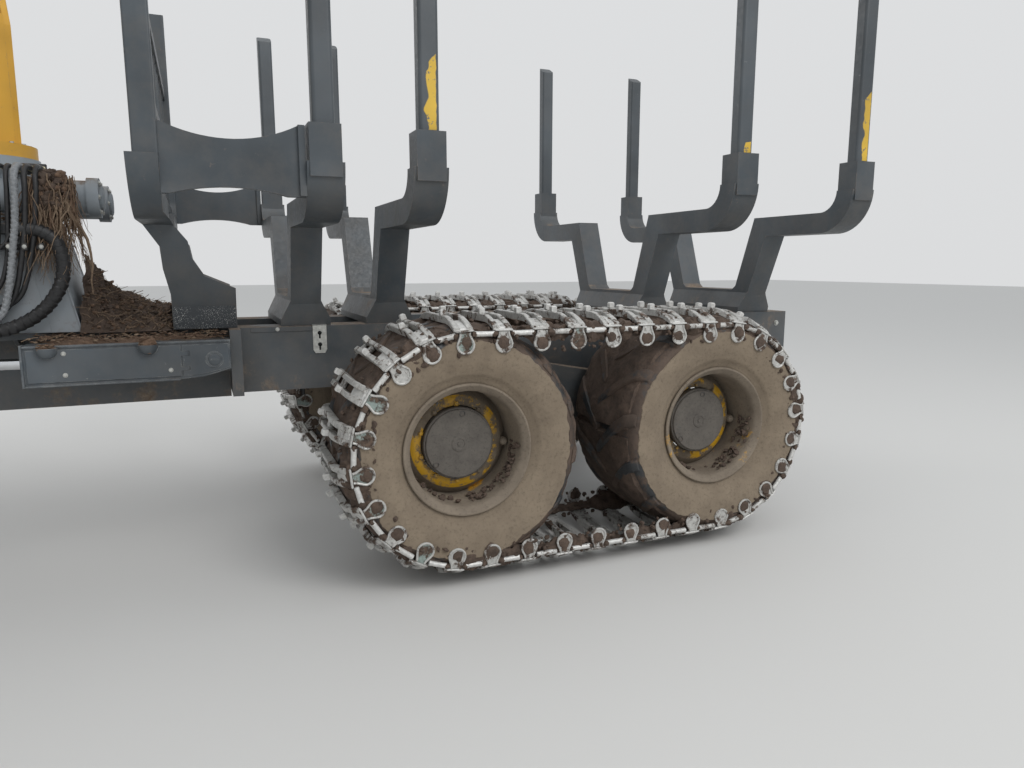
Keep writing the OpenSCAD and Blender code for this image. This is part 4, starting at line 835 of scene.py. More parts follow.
def track_piece(side, letter):
    rng = random.Random(7 + side)
    form = Form()
    place = shift((REAR_AXLES[0] + REAR_AXLES[1]) / 2, side * WHEEL_Y, REAR_WHEEL_Z)
    for k in range(SHOE_N):
        d = (k + 0.5) * STEP
        at = shoe_frame(d, place)
        shoe_piece(form, at, rng, 3 if rng.random() < 0.16 else 0)
        for edge in (1, -1):
            link_rod(form, d + STEP / 2, place, edge, rng, 1 if rng.random() < 0.7 else 0)
            # Mud where the rods hook into the shoe
            for u in (-0.052, 0.052):
                if rng.random() < 0.75:
                    form.add(*clod(rng.uniform(0.014, 0.026), rng.random() * 9, 0.8), 2,
                             at @ shift(u, edge * (BAR_Y + 0.003), BAR_Z - 0.012))
    for edge in (1, -1):
        peat_rope(form, place, edge, edge + side * 3)
    # Crumbs of peat on and below the end plates
    for _ in range(900):
        at = shoe_frame(rng.uniform(0, LOOP), place)
        edge = 1 if rng.random() < 0.55 else -1
        deep = BAR_Z + rng.uniform(-0.115, 0.045)
        reach = rng.uniform(0.332, 0.362) if deep < -0.05 else rng.uniform(0.2, 0.345)
        lift = crown(reach) + rng.uniform(0.0, 0.012) if deep >= -0.05 else deep
        form.add(*clod(rng.uniform(0.006, 0.02), rng.random() * 9, rng.uniform(0.5, 0.9)), 2,
                 at @ shift(0, edge * reach, lift) @ spin(rng.uniform(0, 6), "Y"))
    form.make(f"bogie_track_{letter}", f"rear_bogie_{letter}", [TRACK_STEEL, STUD_STEEL, MUD, GREENISH],
              "bare_steel", f"track_{letter}")


for side, letter in SIDES:
    track_piece(side, letter)


# Small forms shared by the next pieces

def spiral_hose(points, radius, pitch, depth, sides):
    """A hose wound with a flat guard: the turns overlap like tiles."""
    pts = [Vector(p) for p in points]
    lengths = [0.0]
    for a, b in zip(pts, pts[1:]):
        lengths.append(lengths[-1] + (b - a).length)
    verts, faces = tube(pts, radius, sides, caps=False)
    shaped = []
    for i, p in enumerate(pts):
        for k in range(sides):
            share = (lengths[i] / pitch + k / sides) % 1.0
            shaped.append(p + (verts[i * sides + k] - p) * (1 - depth / radius * share))
    return shaped, faces


def fine(points, step):
    """The same run with points at that spacing."""
    pts = [Vector(p) for p in points]
    path = []
    for a, b in zip(pts, pts[1:]):
        count = max(1, round((b - a).length / step))
        path += [a.lerp(b, k / count) for k in range(count)]
    return path + [pts[-1]]


def twig(rng, half, bend, thick, ends=(0, 0), rise=0):
    """A bent twig. ends and rise are the heights of its ends and its middle."""
    return tube([(-half, 0, ends[0]), (0, bend, rise + abs(bend)), (half, 0, ends[1])],
                rng.uniform(0.0009, thick), 4)


def litter(form, low, high, count, seed, mats, length=(0.02, 0.07)):
    """Twigs, needles and crumbs of bark lying between two corners, up to the second's height."""
    rng = random.Random(seed)
    for _ in range(count):
        spot = Vector([rng.uniform(a, b) for a, b in zip(low, high)])
        turn = spin(rng.uniform(0, tau), "Z") @ spin(rng.uniform(-0.35, 0.35), "Y")
        if rng.random() < 0.5:
            shape = twig(rng, rng.uniform(*length) / 2, rng.uniform(-0.006, 0.006), 0.0026)
        else:
            shape = clod(rng.uniform(0.005, 0.013), rng.random() * 9, 0.35)
        form.add(*shape, mats[0] if rng.random() < 0.6 else mats[1], Matrix.Translation(spot) @ turn)


def cloth(form, rows, mat):
    """Faces over a grid of points."""
    n = len(rows[0])
    faces = [(i * n + j, i * n + j + 1, i * n + n + j + 1, i * n + n + j)
             for i in range(len(rows) - 1) for j in range(n - 1)]
    form.add([v for row in rows for v in row], faces, mat)


def mound(form, low, high, height, seed, mat, cells):
    """A rough heap on a flat place: thickest in the middle, nothing at its rim."""
    rows = []
    for u in (i / cells for i in range(cells + 1)):
        row = []
        for v in (j / (cells // 2) for j in range(cells // 2 + 1)):
            x, y = low[0] + (high[0] - low[0]) * u, low[1] + (high[1] - low[1]) * v
            spot = Vector((x, y, seed))
            rim = min(1.0, 5 * u, 5 * (1 - u)) * min(1.0, 3 * v, 3 * (1 - v))
            lift = height * (0.45 + noise(spot * 6) + 0.5 * noise(spot * 30) + 0.25 * noise(spot * 90))
            row.append((x, y, low[2] - 0.004 + rim * max(0.0, lift)))
        rows.append(row)
    cloth(form, rows, mat)


def rectangle(low, high, axis, place):
    """Corners of a rectangle that faces that axis, at that place along it."""
    pairs = ((low[0], low[1]), (high[0], low[1]), (high[0], high[1]), (low[0], high[1]))
    return [(place, a, b) if axis == "x" else (a, place, b) for a, b in pairs]


def ring_tube(corners, bend, radius):
    """A closed tube round a rectangle with rounded corners."""
    pts = [Vector(c) for c in corners]
    mids = [(a + b) / 2 for a, b in zip(pts, pts[1:] + pts[:1])]
    path = []
    for i, corner in enumerate(pts):
        path += rounded_path([mids[i - 1], corner, mids[i]], bend, 4)[:-1]
    return tube(path, radius, 6, closed=True)


# Rear frame: side boxes, bracket, yellow marks, litter and tail lamps

def on_side(side):
    """A form on the machine's left, or its mirror image on the right."""
    return Form(MACHINE if side > 0 else MACHINE @ Matrix.Diagonal((1, -1, 1, 1)))


def side_box(side, letter):
    """Box along the frame: folded case, front panel with a stepped seam, round cover and bark-filled cups."""
    form = on_side(side)
    form.panel([(-1.172, 1.102), (-1.9, 1.102), (-2.03, 1.112), (-2.168, 1.15), (-2.168, 1.311),
                (-1.172, 1.311)], FRAME_Y + 0.001, 0.655, 0.004, 0)
    form.panel([(-1.168, 1.1), (-1.18, 1.1), (-1.18, 1.318), (-1.168, 1.318)], 0.6, 0.672, 0.003, 0)
    form.box((-2.168, 0.65, 1.302), (-1.18, 0.666, 1.314), 0.003, 0)
    form.box((-1.905, 0.65, 1.1), (-1.18, 0.672, 1.112), 0.004, 0)
    seam = [(-1.914, 1.122), (-1.914, 1.152), (-1.95, 1.152), (-1.95, 1.174), (-1.914, 1.174),
            (-1.914, 1.232), (-1.95, 1.232), (-1.95, 1.258), (-1.914, 1.258), (-1.914, 1.292)]
    form.panel([(-1.192, 1.122)] + seam + [(-1.192, 1.292)], 0.656, 0.6615, 0.0015, 0)
    rear_edge = [(-2.158, 1.292), (-2.158, 1.16), (-2.03, 1.128), (-1.96, 1.122)]
    form.panel([(x - 0.008, z) for x, z in seam] + rear_edge, 0.656, 0.6595, 0.0012, 0)
    form.bolts([(-1.362, 0.6615, 1.27), (-1.362, 0.6615, 1.158), (-1.86, 0.6615, 1.158)], (0, 1, 0), 1, 0.009,
               0.007)
    cover = shift(-2.082, 0.6565, 1.205)
    form.turned([(0.034, 0.0), (0.036, 0.009), (0.043, 0.009), (0.046, 0.0)], 40, 0, cover)
    form.capped([(0, 0.007), (0.026, 0.0065), (0.034, 0.004), (0.0345, 0.0), (0, 0.0)], 40, 0, cover)
    form.box((-0.02, 0.006, -0.003), (0.02, 0.0085, 0.003), 0.0008, 0, cover)
    bowl = [(0.0, 0.0), (0.022, 0.003), (0.04, 0.016), (0.05, 0.04), (0.0525, 0.056), (0.0465, 0.056),
            (0.044, 0.042), (0.034, 0.022), (0.02, 0.01), (0.0, 0.007)]
    for x, seed, high in ((-1.288, 3.0, 0.018), (-1.755, 8.0, 0.05)):
        form.capped(bowl, 36, 0, shift(x, 0.668, 1.246) @ spin(pi / 2, "X"))
        form.add(*clod(0.052, seed, high / 0.052), 2, shift(x, 0.665, 1.296))
        litter(form, (x - 0.036, 0.632, 1.3), (x + 0.036, 0.7, 1.302 + high), 60, seed, (2, 3),
               (0.008, 0.035))
    form.make("side_box_" + letter, "rear_frame", [BOX_PAINT, ZINC, LITTER, TWIG], "charcoal_paint",
              "side_boxes")


def heap(form, crest, low_y, high_y, seed, mats, crumbs):
    """Peat fallen on the frame, highest along the crest of (x, height) and thinner to both sides."""
    cells = 70
    rows = []
    for i in range(cells + 1):
        x = crest[0][0] + (crest[-1][0] - crest[0][0]) * i / cells
        top = next(h0 + (h1 - h0) * (x - x0) / (x1 - x0) for (x0, h0), (x1, h1) in zip(crest, crest[1:])
                   if min(x0, x1) - 1e-9 <= x <= max(x0, x1) + 1e-9)
        row = []
        for v in (j / cells for j in range(cells + 1)):
            spot = Vector((x, low_y + (high_y - low_y) * v, seed))
            rim = min(1.0, 4.5 * v, 1.7 * (1 - v)) ** 0.75
            rough = 0.3 * noise(spot * 7) + 0.16 * noise(spot * 22) + 0.1 * noise(spot * 70)
            row.append((spot.x + 0.02 * noise(spot * 30), spot.y,
                        FRAME_TOP - 0.006 + max(0.0, top * (rim + rough * min(1.0, rim * 3)))))
        rows.append(row)
    cloth(form, rows, mats[0])
    rng = random.Random(seed)
    for _ in range(crumbs):
        spot = Matrix.Translation(rows[rng.randrange(3, cells - 2)][rng.randrange(5, cells - 1)])
        turn = spin(rng.uniform(0, tau), "Z") @ spin(rng.uniform(-0.7, 0.7), "Y")
        if rng.random() < 0.55:
            half, bend = rng.uniform(0.008, 0.06), rng.uniform(-0.01, 0.01)
            form.add(*twig(rng, half, bend, 0.0028, (0.002, 0.001), 0.003), mats[1], spot @ turn)
        else:
            lump = clod(rng.uniform(0.005, 0.018), rng.random() * 9, 0.6)
            form.add(*lump, mats[0] if rng.random() < 0.5 else mats[2], spot @ turn)


def rear_trim(side, letter):
    form = on_side(side)
    # Grit on the load gate's foot
    grit = [[(x, y, z) for x in (-2.214, -1.886)] for y, z in ((0.4525, 1.362), (0.4775, 1.4895))]
    form.add(*strip([row + [(x, y - 0.004, z) for x, y, z in reversed(row)] for row in grit]), 2)
    # Bracket with two keyholes, its tab folded over the beam. The keyholes are black discs and slots laid on
    # its face: painted shade in place of open holes
    form.panel([(-2.642, 1.366), (-2.642, 1.215), (-2.655, 1.192), (-2.712, 1.192), (-2.725, 1.215),
                (-2.725, 1.366)], 0.4705, 0.4755, 0.0015, 3)
    form.box((-2.725, 0.44, 1.3603), (-2.642, 0.4755, 1.3655), 0.0012, 3)
    for z in (1.316, 1.246):
        hole = shift(-2.683, 0.475, z)
        # Black disc and slot on the plate: painted shade of the open keyhole
        form.capped([(0, 0.0012), (0.0125, 0.0012), (0.0128, -0.003), (0, -0.003)], 18, 4, hole)
        form.box((-0.0055, -0.003, -0.034), (0.0055, 0.0012, 0.0), 0.0008, 4, hole)
    form.box((-2.64, 0.4702, 1.33), (-2.29, 0.4755, 1.3595), 0.0015, 0)
    form.bolts([(-2.44, 0.4755, 1.345)], (0, 1, 0), 1, 0.009, 0.007)
    # Yellow marks on three stakes
    for x, z0, z1, width in ((STAKES[1], 2.376, 2.73, 0.052), (STAKES[2], 2.376, 2.44, 0.04),
                             (STAKES[3], 2.376, 2.8, 0.05)):
        rings = []
        for i in range(49):
            z = z0 + (z1 - z0) * i / 48
            spot = Vector((x, z * 14, side))
            rear = x - 0.036 + 0.004 * noise(spot * 3)
            front = rear + max(0.003, width * (1 + 0.7 * noise(spot)) * min(1.0, 9 * (1 - i / 48)))
            rings.append([(rear, 1.402, z), (rear + 0.001, 1.4029, z), (front - 0.001, 1.4029, z),
                          (front, 1.402, z)])
        form.add(*strip(rings), 5)
    # Bark, needles and peat on the box and on the frame
    mound(form, (-2.16, 0.3, 1.311), (-1.186, 0.662, 1.311), 0.034, 4.0 + side, 6, 90)
    litter(form, (-2.15, 0.31, 1.322), (-1.2, 0.655, 1.356), 420, 5 + side, (6, 7))
    if side > 0:
        heap(form, [(-1.42, 0.36), (-1.46, 0.34), (-1.52, 0.24), (-1.62, 0.17), (-1.76, 0.145),
                    (-1.845, 0.12), (-1.885, 0.02)], -0.22, 0.43, 2.0, (9, 7, 6), 900)
    else:
        mound(form, (-1.88, -0.02, 1.36), (-1.425, 0.265, 1.36), 0.085, 2.0, 6, 50)
        litter(form, (-1.87, 0.0, 1.375), (-1.43, 0.262, 1.43), 160, 14, (6, 7))
    form.bolts([(x, FRAME_Y, z) for x in (-6.2, -5.95, -3.4, -3.15) for z in (1.05, 1.27)], (0, 1, 0), 1,
               0.016, 0.013)
    # Tail lamp
    form.box((-6.312, 0.3, 1.14), (-6.2895, 0.44, 1.24), 0.004, 4)
    form.box((-6.319, 0.308, 1.148), (-6.3118, 0.432, 1.232), 0.003, 8)
    form.make("rear_trim_" + letter, "rear_frame", [CHARCOAL, ZINC, SPECKLED, ZINC, BLACK_AND_HOLE_SHADE, OLD_YELLOW,
                                                    LITTER, TWIG, RED, MUD], "charcoal_paint")


# Hoses at the pedestal. Columns: radius, guarded, (x, y, z) along the run
BEND_X = PILLAR_X + 0.09
HOSES = (
    (0.0195, True, (-1.19, 0.485, 2.1), (-1.178, 0.49, 1.94), (-1.162, 0.492, 1.834), (-1.144, 0.494, 1.716),
     (-1.122, 0.496, 1.597), (-1.088, 0.498, 1.48), (-1.03, 0.492, 1.425), (-0.95, 0.47, 1.402)),
    (0.014, False, (-1.232, 0.47, 2.1), (-1.218, 0.474, 1.936), (-1.2, 0.476, 1.818), (-1.18, 0.474, 1.716),
     (-1.156, 0.468, 1.614), (-1.115, 0.462, 1.52), (-1.05, 0.456, 1.465), (-0.95, 0.446, 1.452)),
    (0.0135, False, (-1.28, 0.462, 2.1), (-1.266, 0.462, 1.98), (-1.252, 0.46, 1.877), (-1.232, 0.458, 1.784),
     (-1.203, 0.452, 1.664), (-1.16, 0.446, 1.56), (-1.085, 0.44, 1.508), (-0.95, 0.438, 1.5)),
    (0.012, False, (-1.15, 0.455, 2.1), (-1.142, 0.455, 1.96), (-1.128, 0.458, 1.8), (-1.11, 0.458, 1.7),
     (-1.08, 0.456, 1.62), (-1.03, 0.452, 1.565), (-0.95, 0.446, 1.548)),
    (0.012, False, (-1.108, 0.462, 2.1), (-1.104, 0.462, 1.98), (-1.09, 0.464, 1.84), (-1.066, 0.462, 1.73),
     (-1.03, 0.458, 1.65), (-0.95, 0.45, 1.6)),
)
FAT_HOSE = (
    (-1.175, 0.455, 1.905), (-1.27, 0.462, 1.9), (-1.345, 0.478, 1.85), (-1.376, 0.492, 1.745),
    (-1.362, 0.502, 1.632), (-1.315, 0.508, 1.543), (-1.248, 0.512, 1.47), (-1.177, 0.516, 1.424),
    (-1.108, 0.518, 1.396), (-1.04, 0.514, 1.384), (-0.965, 0.49, 1.386), (-0.905, 0.462, 1.392),
    (-0.862, 0.445, 1.396))
HOUSING_Z = 2.235
PLATE_X = -0.862


def pedestal_hoses():
    form = Form()
    for radius, guarded, *run in HOSES:
        (x, y, _), z = run[0], run[-1][2]
        over = [(x, 0.215, HOUSING_Z), (x, 0.33, HOUSING_Z), (x, 0.4, HOUSING_Z - 0.012),
                (x, y - 0.014, HOUSING_Z - 0.06)]
        path = curve(over + run + [(-0.905, 0.445, z), (PLATE_X, 0.445, z)])
        if guarded:
            form.add(*spiral_hose(fine(path, 0.003), radius, 0.024, 0.0045, 16), 1)
        else:
            form.pipe(path, radius, 12, 0)
        for place, along in (((x, 0.215, HOUSING_Z), (0, 1, 0)), ((-0.8605, 0.445, z), (-1, 0, 0))):
            form.pipe([(0, 0, -0.012), (0, 0, 0.008), (0, 0, 0.009), (0, 0, 0.045)],
                      lambda s: radius + (0.0045 if s < 0.5 else 0.0022), 8, 2, facing(place, along))
    form.add(*spiral_hose(fine(curve(FAT_HOSE), 0.0045), 0.037, 0.036, 0.0065, 20), 0)
    form.pipe([(-1.148, 0.47, 1.885), (-1.125, 0.476, 1.834), (-1.085, 0.48, 1.795), (-1.02, 0.47, 1.77),
               (-0.96, 0.455, 1.7), (-0.93, 0.45, 1.655), (PLATE_X, 0.445, 1.636)], 0.0085, 10, 0)
    # Plate with the hoses' ends, and the clamps on the pedestal's sloping side
    form.box((BEND_X, 0.405, FRAME_TOP + 0.0003), (BEND_X + 0.02, 0.485, 1.66), 0.003, 3)
    clamp_y = 0.4 - 0.07 * (1.8 - FRAME_TOP) / 0.54 + 0.0003
    form.box((-1.3, clamp_y, 1.8), (BEND_X - 0.19, 0.442, 1.83), 0.004, 3)
    form.box((-1.3, 0.438, 1.806), (-1.095, 0.448, 1.824), 0.003, 3)
    form.box((BEND_X - 0.34, 0.365, 1.879), (BEND_X - 0.19, 0.44, 1.935), 0.004, 3)
    for x in (-1.14, -1.21, -1.285):
        form.box((x - 0.012, 0.436, 1.796), (x + 0.012, 0.5, 1.834), 0.004, 3)
        form.bolts([(x, 0.5, 1.815)], (0, 1, 0), 4, 0.008, 0.007)
    # Bracket that carries the hoses over the slewing cylinder
    form.box((-1.3, 0.195, HOUSING_Z - 0.03), (-1.085, 0.214, HOUSING_Z + 0.03), 0.004, 3)
    form.make("pedestal_hoses", "rear_frame", [HOSE, GUARD_GREY, FITTING, DARK_FITTING, ZINC], "hose_rubber",
              "crane_hoses")


def root(form, rng, start, length, radius, mat):
    """A root or stalk that hangs and wanders."""
    p = Vector(start)
    path, lean = [p], Vector((rng.uniform(-0.3, 0.3), rng.uniform(-0.05, 0.25), -1))
    for _ in range(7):
        sway = Vector((rng.uniform(-0.4, 0.4), rng.uniform(-0.25, 0.25), rng.uniform(-0.2, 0.2)))
        p = p + (lean + sway).normalized() * length / 7
        path.append(p)
    form.pipe(path, lambda s: radius * (1.05 - 0.8 * s), 5, mat)


def root_clump(form):
    """Peat and roots caught on the rear end of the slewing cylinder, over the hoses."""
    rng = random.Random(31)
    for _ in range(520):
        u = Vector([rng.gauss(0, 1) for _ in range(3)]).normalized() * rng.random() ** 0.33
        spot = shift(-1.34 + 0.11 * u.x, 0.405 + 0.05 * u.y, 2.085 + 0.125 * u.z)
        form.add(*clod(rng.uniform(0.008, 0.025), rng.random() * 9, 0.8), 4 if rng.random() < 0.8 else 2,
                 spot @ spin(rng.uniform(0, 6), "X"))
    for _ in range(420):
        start = (rng.uniform(-1.45, -1.23), rng.uniform(0.35, 0.455), rng.uniform(1.97, 2.19))
        length, radius = rng.uniform(0.1, 0.42), rng.uniform(0.0014, 0.0042)
        root(form, rng, start, length, radius, 3 if rng.random() < 0.6 else 2)
    root(form, random.Random(3), (-1.405, 0.44, 2.06), 0.52, 0.012, 3)


def pedestal_trim():
    """Folded corners, seams and bolts of the pedestal, and roots caught on its rear side."""
    form = Form()
    top, low = 1.898, FRAME_TOP + 0.002
    for sx in (-1, 1):
        for sy in (-1, 1):
            form.pipe([(PILLAR_X + sx * 0.47, sy * 0.4, low), (PILLAR_X + sx * 0.35, sy * 0.33, top)], 0.006,
                      8, 0)
    for sy in (-1, 1):
        rings = []
        for z, x in ((low, 0.33), (1.8, 0.235)):
            y = 0.4035 - 0.07 * (z - FRAME_TOP) / 0.54
            corners = ((-1, y - 0.004), (1, y - 0.004), (1, y), (-1, y))
            rings.append([(PILLAR_X + sx * x, sy * t, z) for sx, t in corners])
        form.add(*strip(rings), 0)
    form.bolts([(PILLAR_X + x, y, 1.949) for x, y in ngon(0.33, 20)], (0, 0, 1), 1, 0.014, 0.014)
    # End caps of the two slewing cylinders
    for sy in (-1, 1):
        for sx in (-1, 1):
            cap = facing((PILLAR_X + sx * 0.602, sy * 0.235, 2.09), (sx, 0, 0))
            form.pipe([(0, 0, -0.004), (0, 0, 0.01), (0, 0, 0.016)], lambda s: 0.07 if s < 0.7 else 0.06, 20,
                      0, cap)
            for x, y in ngon(0.09, 6):
                form.add(*bolt(0.011, 0.01), 1, cap @ shift(x, y, -0.002))
    root_clump(form)
    litter(form, (-1.31, 0.3, 1.945), (-0.9, 0.4, 1.985), 130, 45, (2, 3), (0.05, 0.2))
    form.make("pedestal_trim", "rear_frame", [GREY, ZINC, LITTER, TWIG, MUD], "grey_paint")


# Crane: steel lines with clamps, and keepers on the pins

def keeper(form, side, x, y, z, size):
    """Keeper plate on that side's end of a pin."""
    at = facing((x, side * y, z), (0, side, 0))
    form.plate(ngon(size, 24), 0.0, 0.008, 0.002, 0, at)
    form.box((-size * 1.5, -0.014, 0.006), (size * 1.5, 0.014, 0.013), 0.002, 0, at)
    for u in (-size * 1.15, size * 1.15):
        form.add(*bolt(0.009, 0.009), 1, at @ shift(u, 0, 0.012))


def boom_lines(name, body, place, start_x, end_x, y, heights):
    form = Form(place)
    for z, radius in heights:
        form.pipe(rounded_path([(start_x, y - 0.01, z + 0.03), (start_x + 0.06, y, z), (end_x - 0.06, y, z),
                                (end_x, y - 0.01, z + 0.03)], 0.04), radius, 10, 0)
        for x in (start_x, end_x):
            form.pipe([(x - 0.016, y - 0.01, z + 0.03), (x + 0.016, y - 0.01, z + 0.03)], radius * 1.6, 6, 1)
    low, high = heights[0][0], heights[-1][0]
    count = max(2, round((end_x - start_x) / 0.55))
    for k in range(count):
        x = start_x + 0.14 + (end_x - start_x - 0.28) * k / (count - 1)
        form.box((x - 0.018, y - 0.0135, low - 0.022), (x + 0.018, y + 0.0135, high + 0.022), 0.003, 2)
        form.bolts([(x, y + 0.0135, (low + high) / 2)], (0, 1, 0), 1, 0.008, 0.006)
    form.make(name, body, [ZINC, FITTING, PLASTIC], "ochre_paint")


def crane_trim():
    boom_lines("main_lines", "main_boom", ON_MAIN, 0.42, 3.02, 0.099,
               ((-0.045, 0.0095), (-0.015, 0.0095), (0.015, 0.0115)))
    boom_lines("outer_lines", "outer_boom", ON_OUTER, 0.36, 2.62, 0.094, ((-0.02, 0.0085), (0.01, 0.0085)))
    form = Form(CRANE)
    for side in (1, -1):
        keeper(form, side, PIVOT[0], 0.141, PIVOT[1], 0.055)
        keeper(form, side, 0.112, 0.136, 2.466, 0.044)
    form.bolts([(0.248 * cos(a), 0.248 * sin(a), SLEW_Z + 0.07)
                for a in (tau * (k + 0.5) / 18 for k in range(18))], (0, 0, 1), 1, 0.011, 0.012)
    form.make("pillar_trim", "crane_pillar", [DARK_FITTING, ZINC], "ochre_paint")
    form = Form(ON_MAIN)
    for side in (1, -1):
        keeper(form, side, MAIN_L, 0.095, 0, 0.046)
    # Two working lamps under the boom
    for side in (1, -1):
        at = shift(2.45, side * 0.105, -0.175) @ spin(radians(115), "Y")
        form.pipe([(0, 0, -0.035), (0, 0, -0.02), (0, 0, 0.03), (0, 0, 0.036)], lambda s: 0.03 + 0.018 * s,
                  20, 0, at)
        form.plate(ngon(0.042, 24), 0.034, 0.04, 0.002, 2, at)
        form.box((2.44, side * 0.105 - 0.01, -0.16), (2.462, side * 0.105 + 0.01, -0.06), 0.002, 0)
    form.make("main_trim", "main_boom", [DARK_FITTING, ZINC, LENS], "ochre_paint")


for side, letter in SIDES:
    side_box(side, letter)
    rear_trim(side, letter)
pedestal_hoses()
pedestal_trim()
crane_trim()


# Front half: cab, bonnet and bumper

PANE_Y = 0.61


def cab_trim():
    form = Form()
    for axis, low, high, place in (
            ("x", (-PANE_Y, 2.28), (PANE_Y, 3.48), CAB_BACK + 0.004),
            ("x", (-PANE_Y, 2.18), (PANE_Y, 3.48), CAB_FRONT - 0.004),
            ("y", (CAB_BACK + 0.2, 2.28), (CAB_FRONT - 0.2, 3.48), -CAB_Y + 0.004),
            ("y", (CAB_BACK + 0.17, 2.33), (1.07, 3.48), CAB_Y - 0.004)):
        form.add(*ring_tube(rectangle(low, high, axis, place), 0.05, 0.012), 0)
    # Grid behind the rear window keeps timber out
    for k in range(9):
        y = -0.54 + 0.135 * k
        form.pipe([(CAB_BACK - 0.022, y, 2.26), (CAB_BACK - 0.022, y, 3.5)], 0.008, 8, 1)
    for z in (2.25, 2.88, 3.51):
        form.box((CAB_BACK - 0.034, -0.6, z - 0.015), (CAB_BACK - 0.0005, 0.6, z + 0.015), 0.004, 1)
    # Lenses of the lamps and an amber dome over the beacon
    for y in (-0.6, -0.36, 0.36, 0.6):
        for x, way in ((CAB_FRONT - 0.08, 1), (CAB_BACK + 0.08, -1)):
            at = facing((x + way * 0.0445, y, CAB_TOP + 0.0903), (way, 0, 0))
            form.pipe([(0, 0, 0), (0, 0, 0.004), (0, 0, 0.009), (0, 0, 0.011)],
                      lambda s: 0.062 - 0.04 * max(0.0, s - 0.4) ** 2 / 0.36, 28, 2, at)
            form.turned([(0.06, -0.002), (0.07, -0.002), (0.071, 0.006), (0.063, 0.008)], 28, 1,
                        at @ spin(pi / 2, "X"))
    form.capped([(0, -0.001), (0.057, -0.001), (0.058, 0.07), (0.052, 0.096), (0.035, 0.108), (0, 0.112)], 32,
                3, shift(CAB_FRONT - 0.5, 0.5, CAB_TOP + 0.03) @ spin(pi / 2, "X"))
    # Grab rails at the door and at the rear corner
    for x, y in ((1.095, CAB_Y), (CAB_BACK + 0.1, -CAB_Y)):
        out = copysign(0.062, y)
        form.pipe(rounded_path([(x, y - out * 0.1, 1.98), (x, y + out, 1.98), (x, y + out, 3.05),
                                (x, y - out * 0.1, 3.05)], 0.04), 0.013, 12, 1)
    # Mirrors on arms from the front posts
    mirror_x = CAB_FRONT + 0.06
    for side in (1, -1):
        form.pipe(rounded_path([(CAB_FRONT - 0.13, side * (CAB_Y - 0.005), 3.3), (mirror_x, side * 1.0, 3.34),
                                (mirror_x, side * 1.04, 3.0)], 0.07), 0.011, 10, 1)
        head = shift(mirror_x, side * 1.045, 3.1) @ spin(side * 0.35, "Z")
        form.box((-0.012, -0.085, -0.15), (0.022, 0.085, 0.15), 0.018, 4, head)
        form.box((-0.0145, -0.072, -0.135), (-0.0115, 0.072, 0.135), 0.002, 5, head)
    # Wiper on the front window
    form.pipe([(CAB_FRONT + 0.006, 0.1, 2.13), (CAB_FRONT + 0.02, 0.12, 2.16),
               (CAB_FRONT + 0.012, 0.3, 2.62)], 0.006, 8, 1)
    form.box((CAB_FRONT + 0.0005, 0.285, 2.38), (CAB_FRONT + 0.01, 0.3, 2.96), 0.002, 0)
    form.box((CAB_FRONT - 0.001, 0.07, 2.1), (CAB_FRONT + 0.016, 0.14, 2.155), 0.005, 4)
    # Rain gutter and panel seam
    for z in (CAB_TOP - 0.125, 1.955):
        form.pipe([(CAB_BACK + 0.13, -CAB_Y - 0.001, z), (CAB_FRONT - 0.13, -CAB_Y - 0.001, z)], 0.006, 6, 1)
    form.make("cab_trim", "front_frame", [RUBBER, DARK_FITTING, LENS, AMBER, PLASTIC, MIRROR], "ochre_paint")

    # Door: pane seal, seam and handle
    form = Form()
    form.add(*ring_tube(rectangle((1.22, 2.12), (2.07, 3.44), "y", CAB_Y - 0.003), 0.05, 0.011), 0)
    form.add(*ring_tube(rectangle((1.139, 1.819), (2.151, 3.531), "y", CAB_Y + 0.001), 0.03, 0.0045), 0)
    handle = ((0.028, 2.03), (0.058, 2.03), (0.058, 2.21), (0.028, 2.21))
    form.pipe(rounded_path([(1.185, CAB_Y + out, z) for out, z in handle], 0.02), 0.008, 10, 1)
    form.make("door_trim", "cab_door", [RUBBER, DARK_FITTING], "ochre_paint")


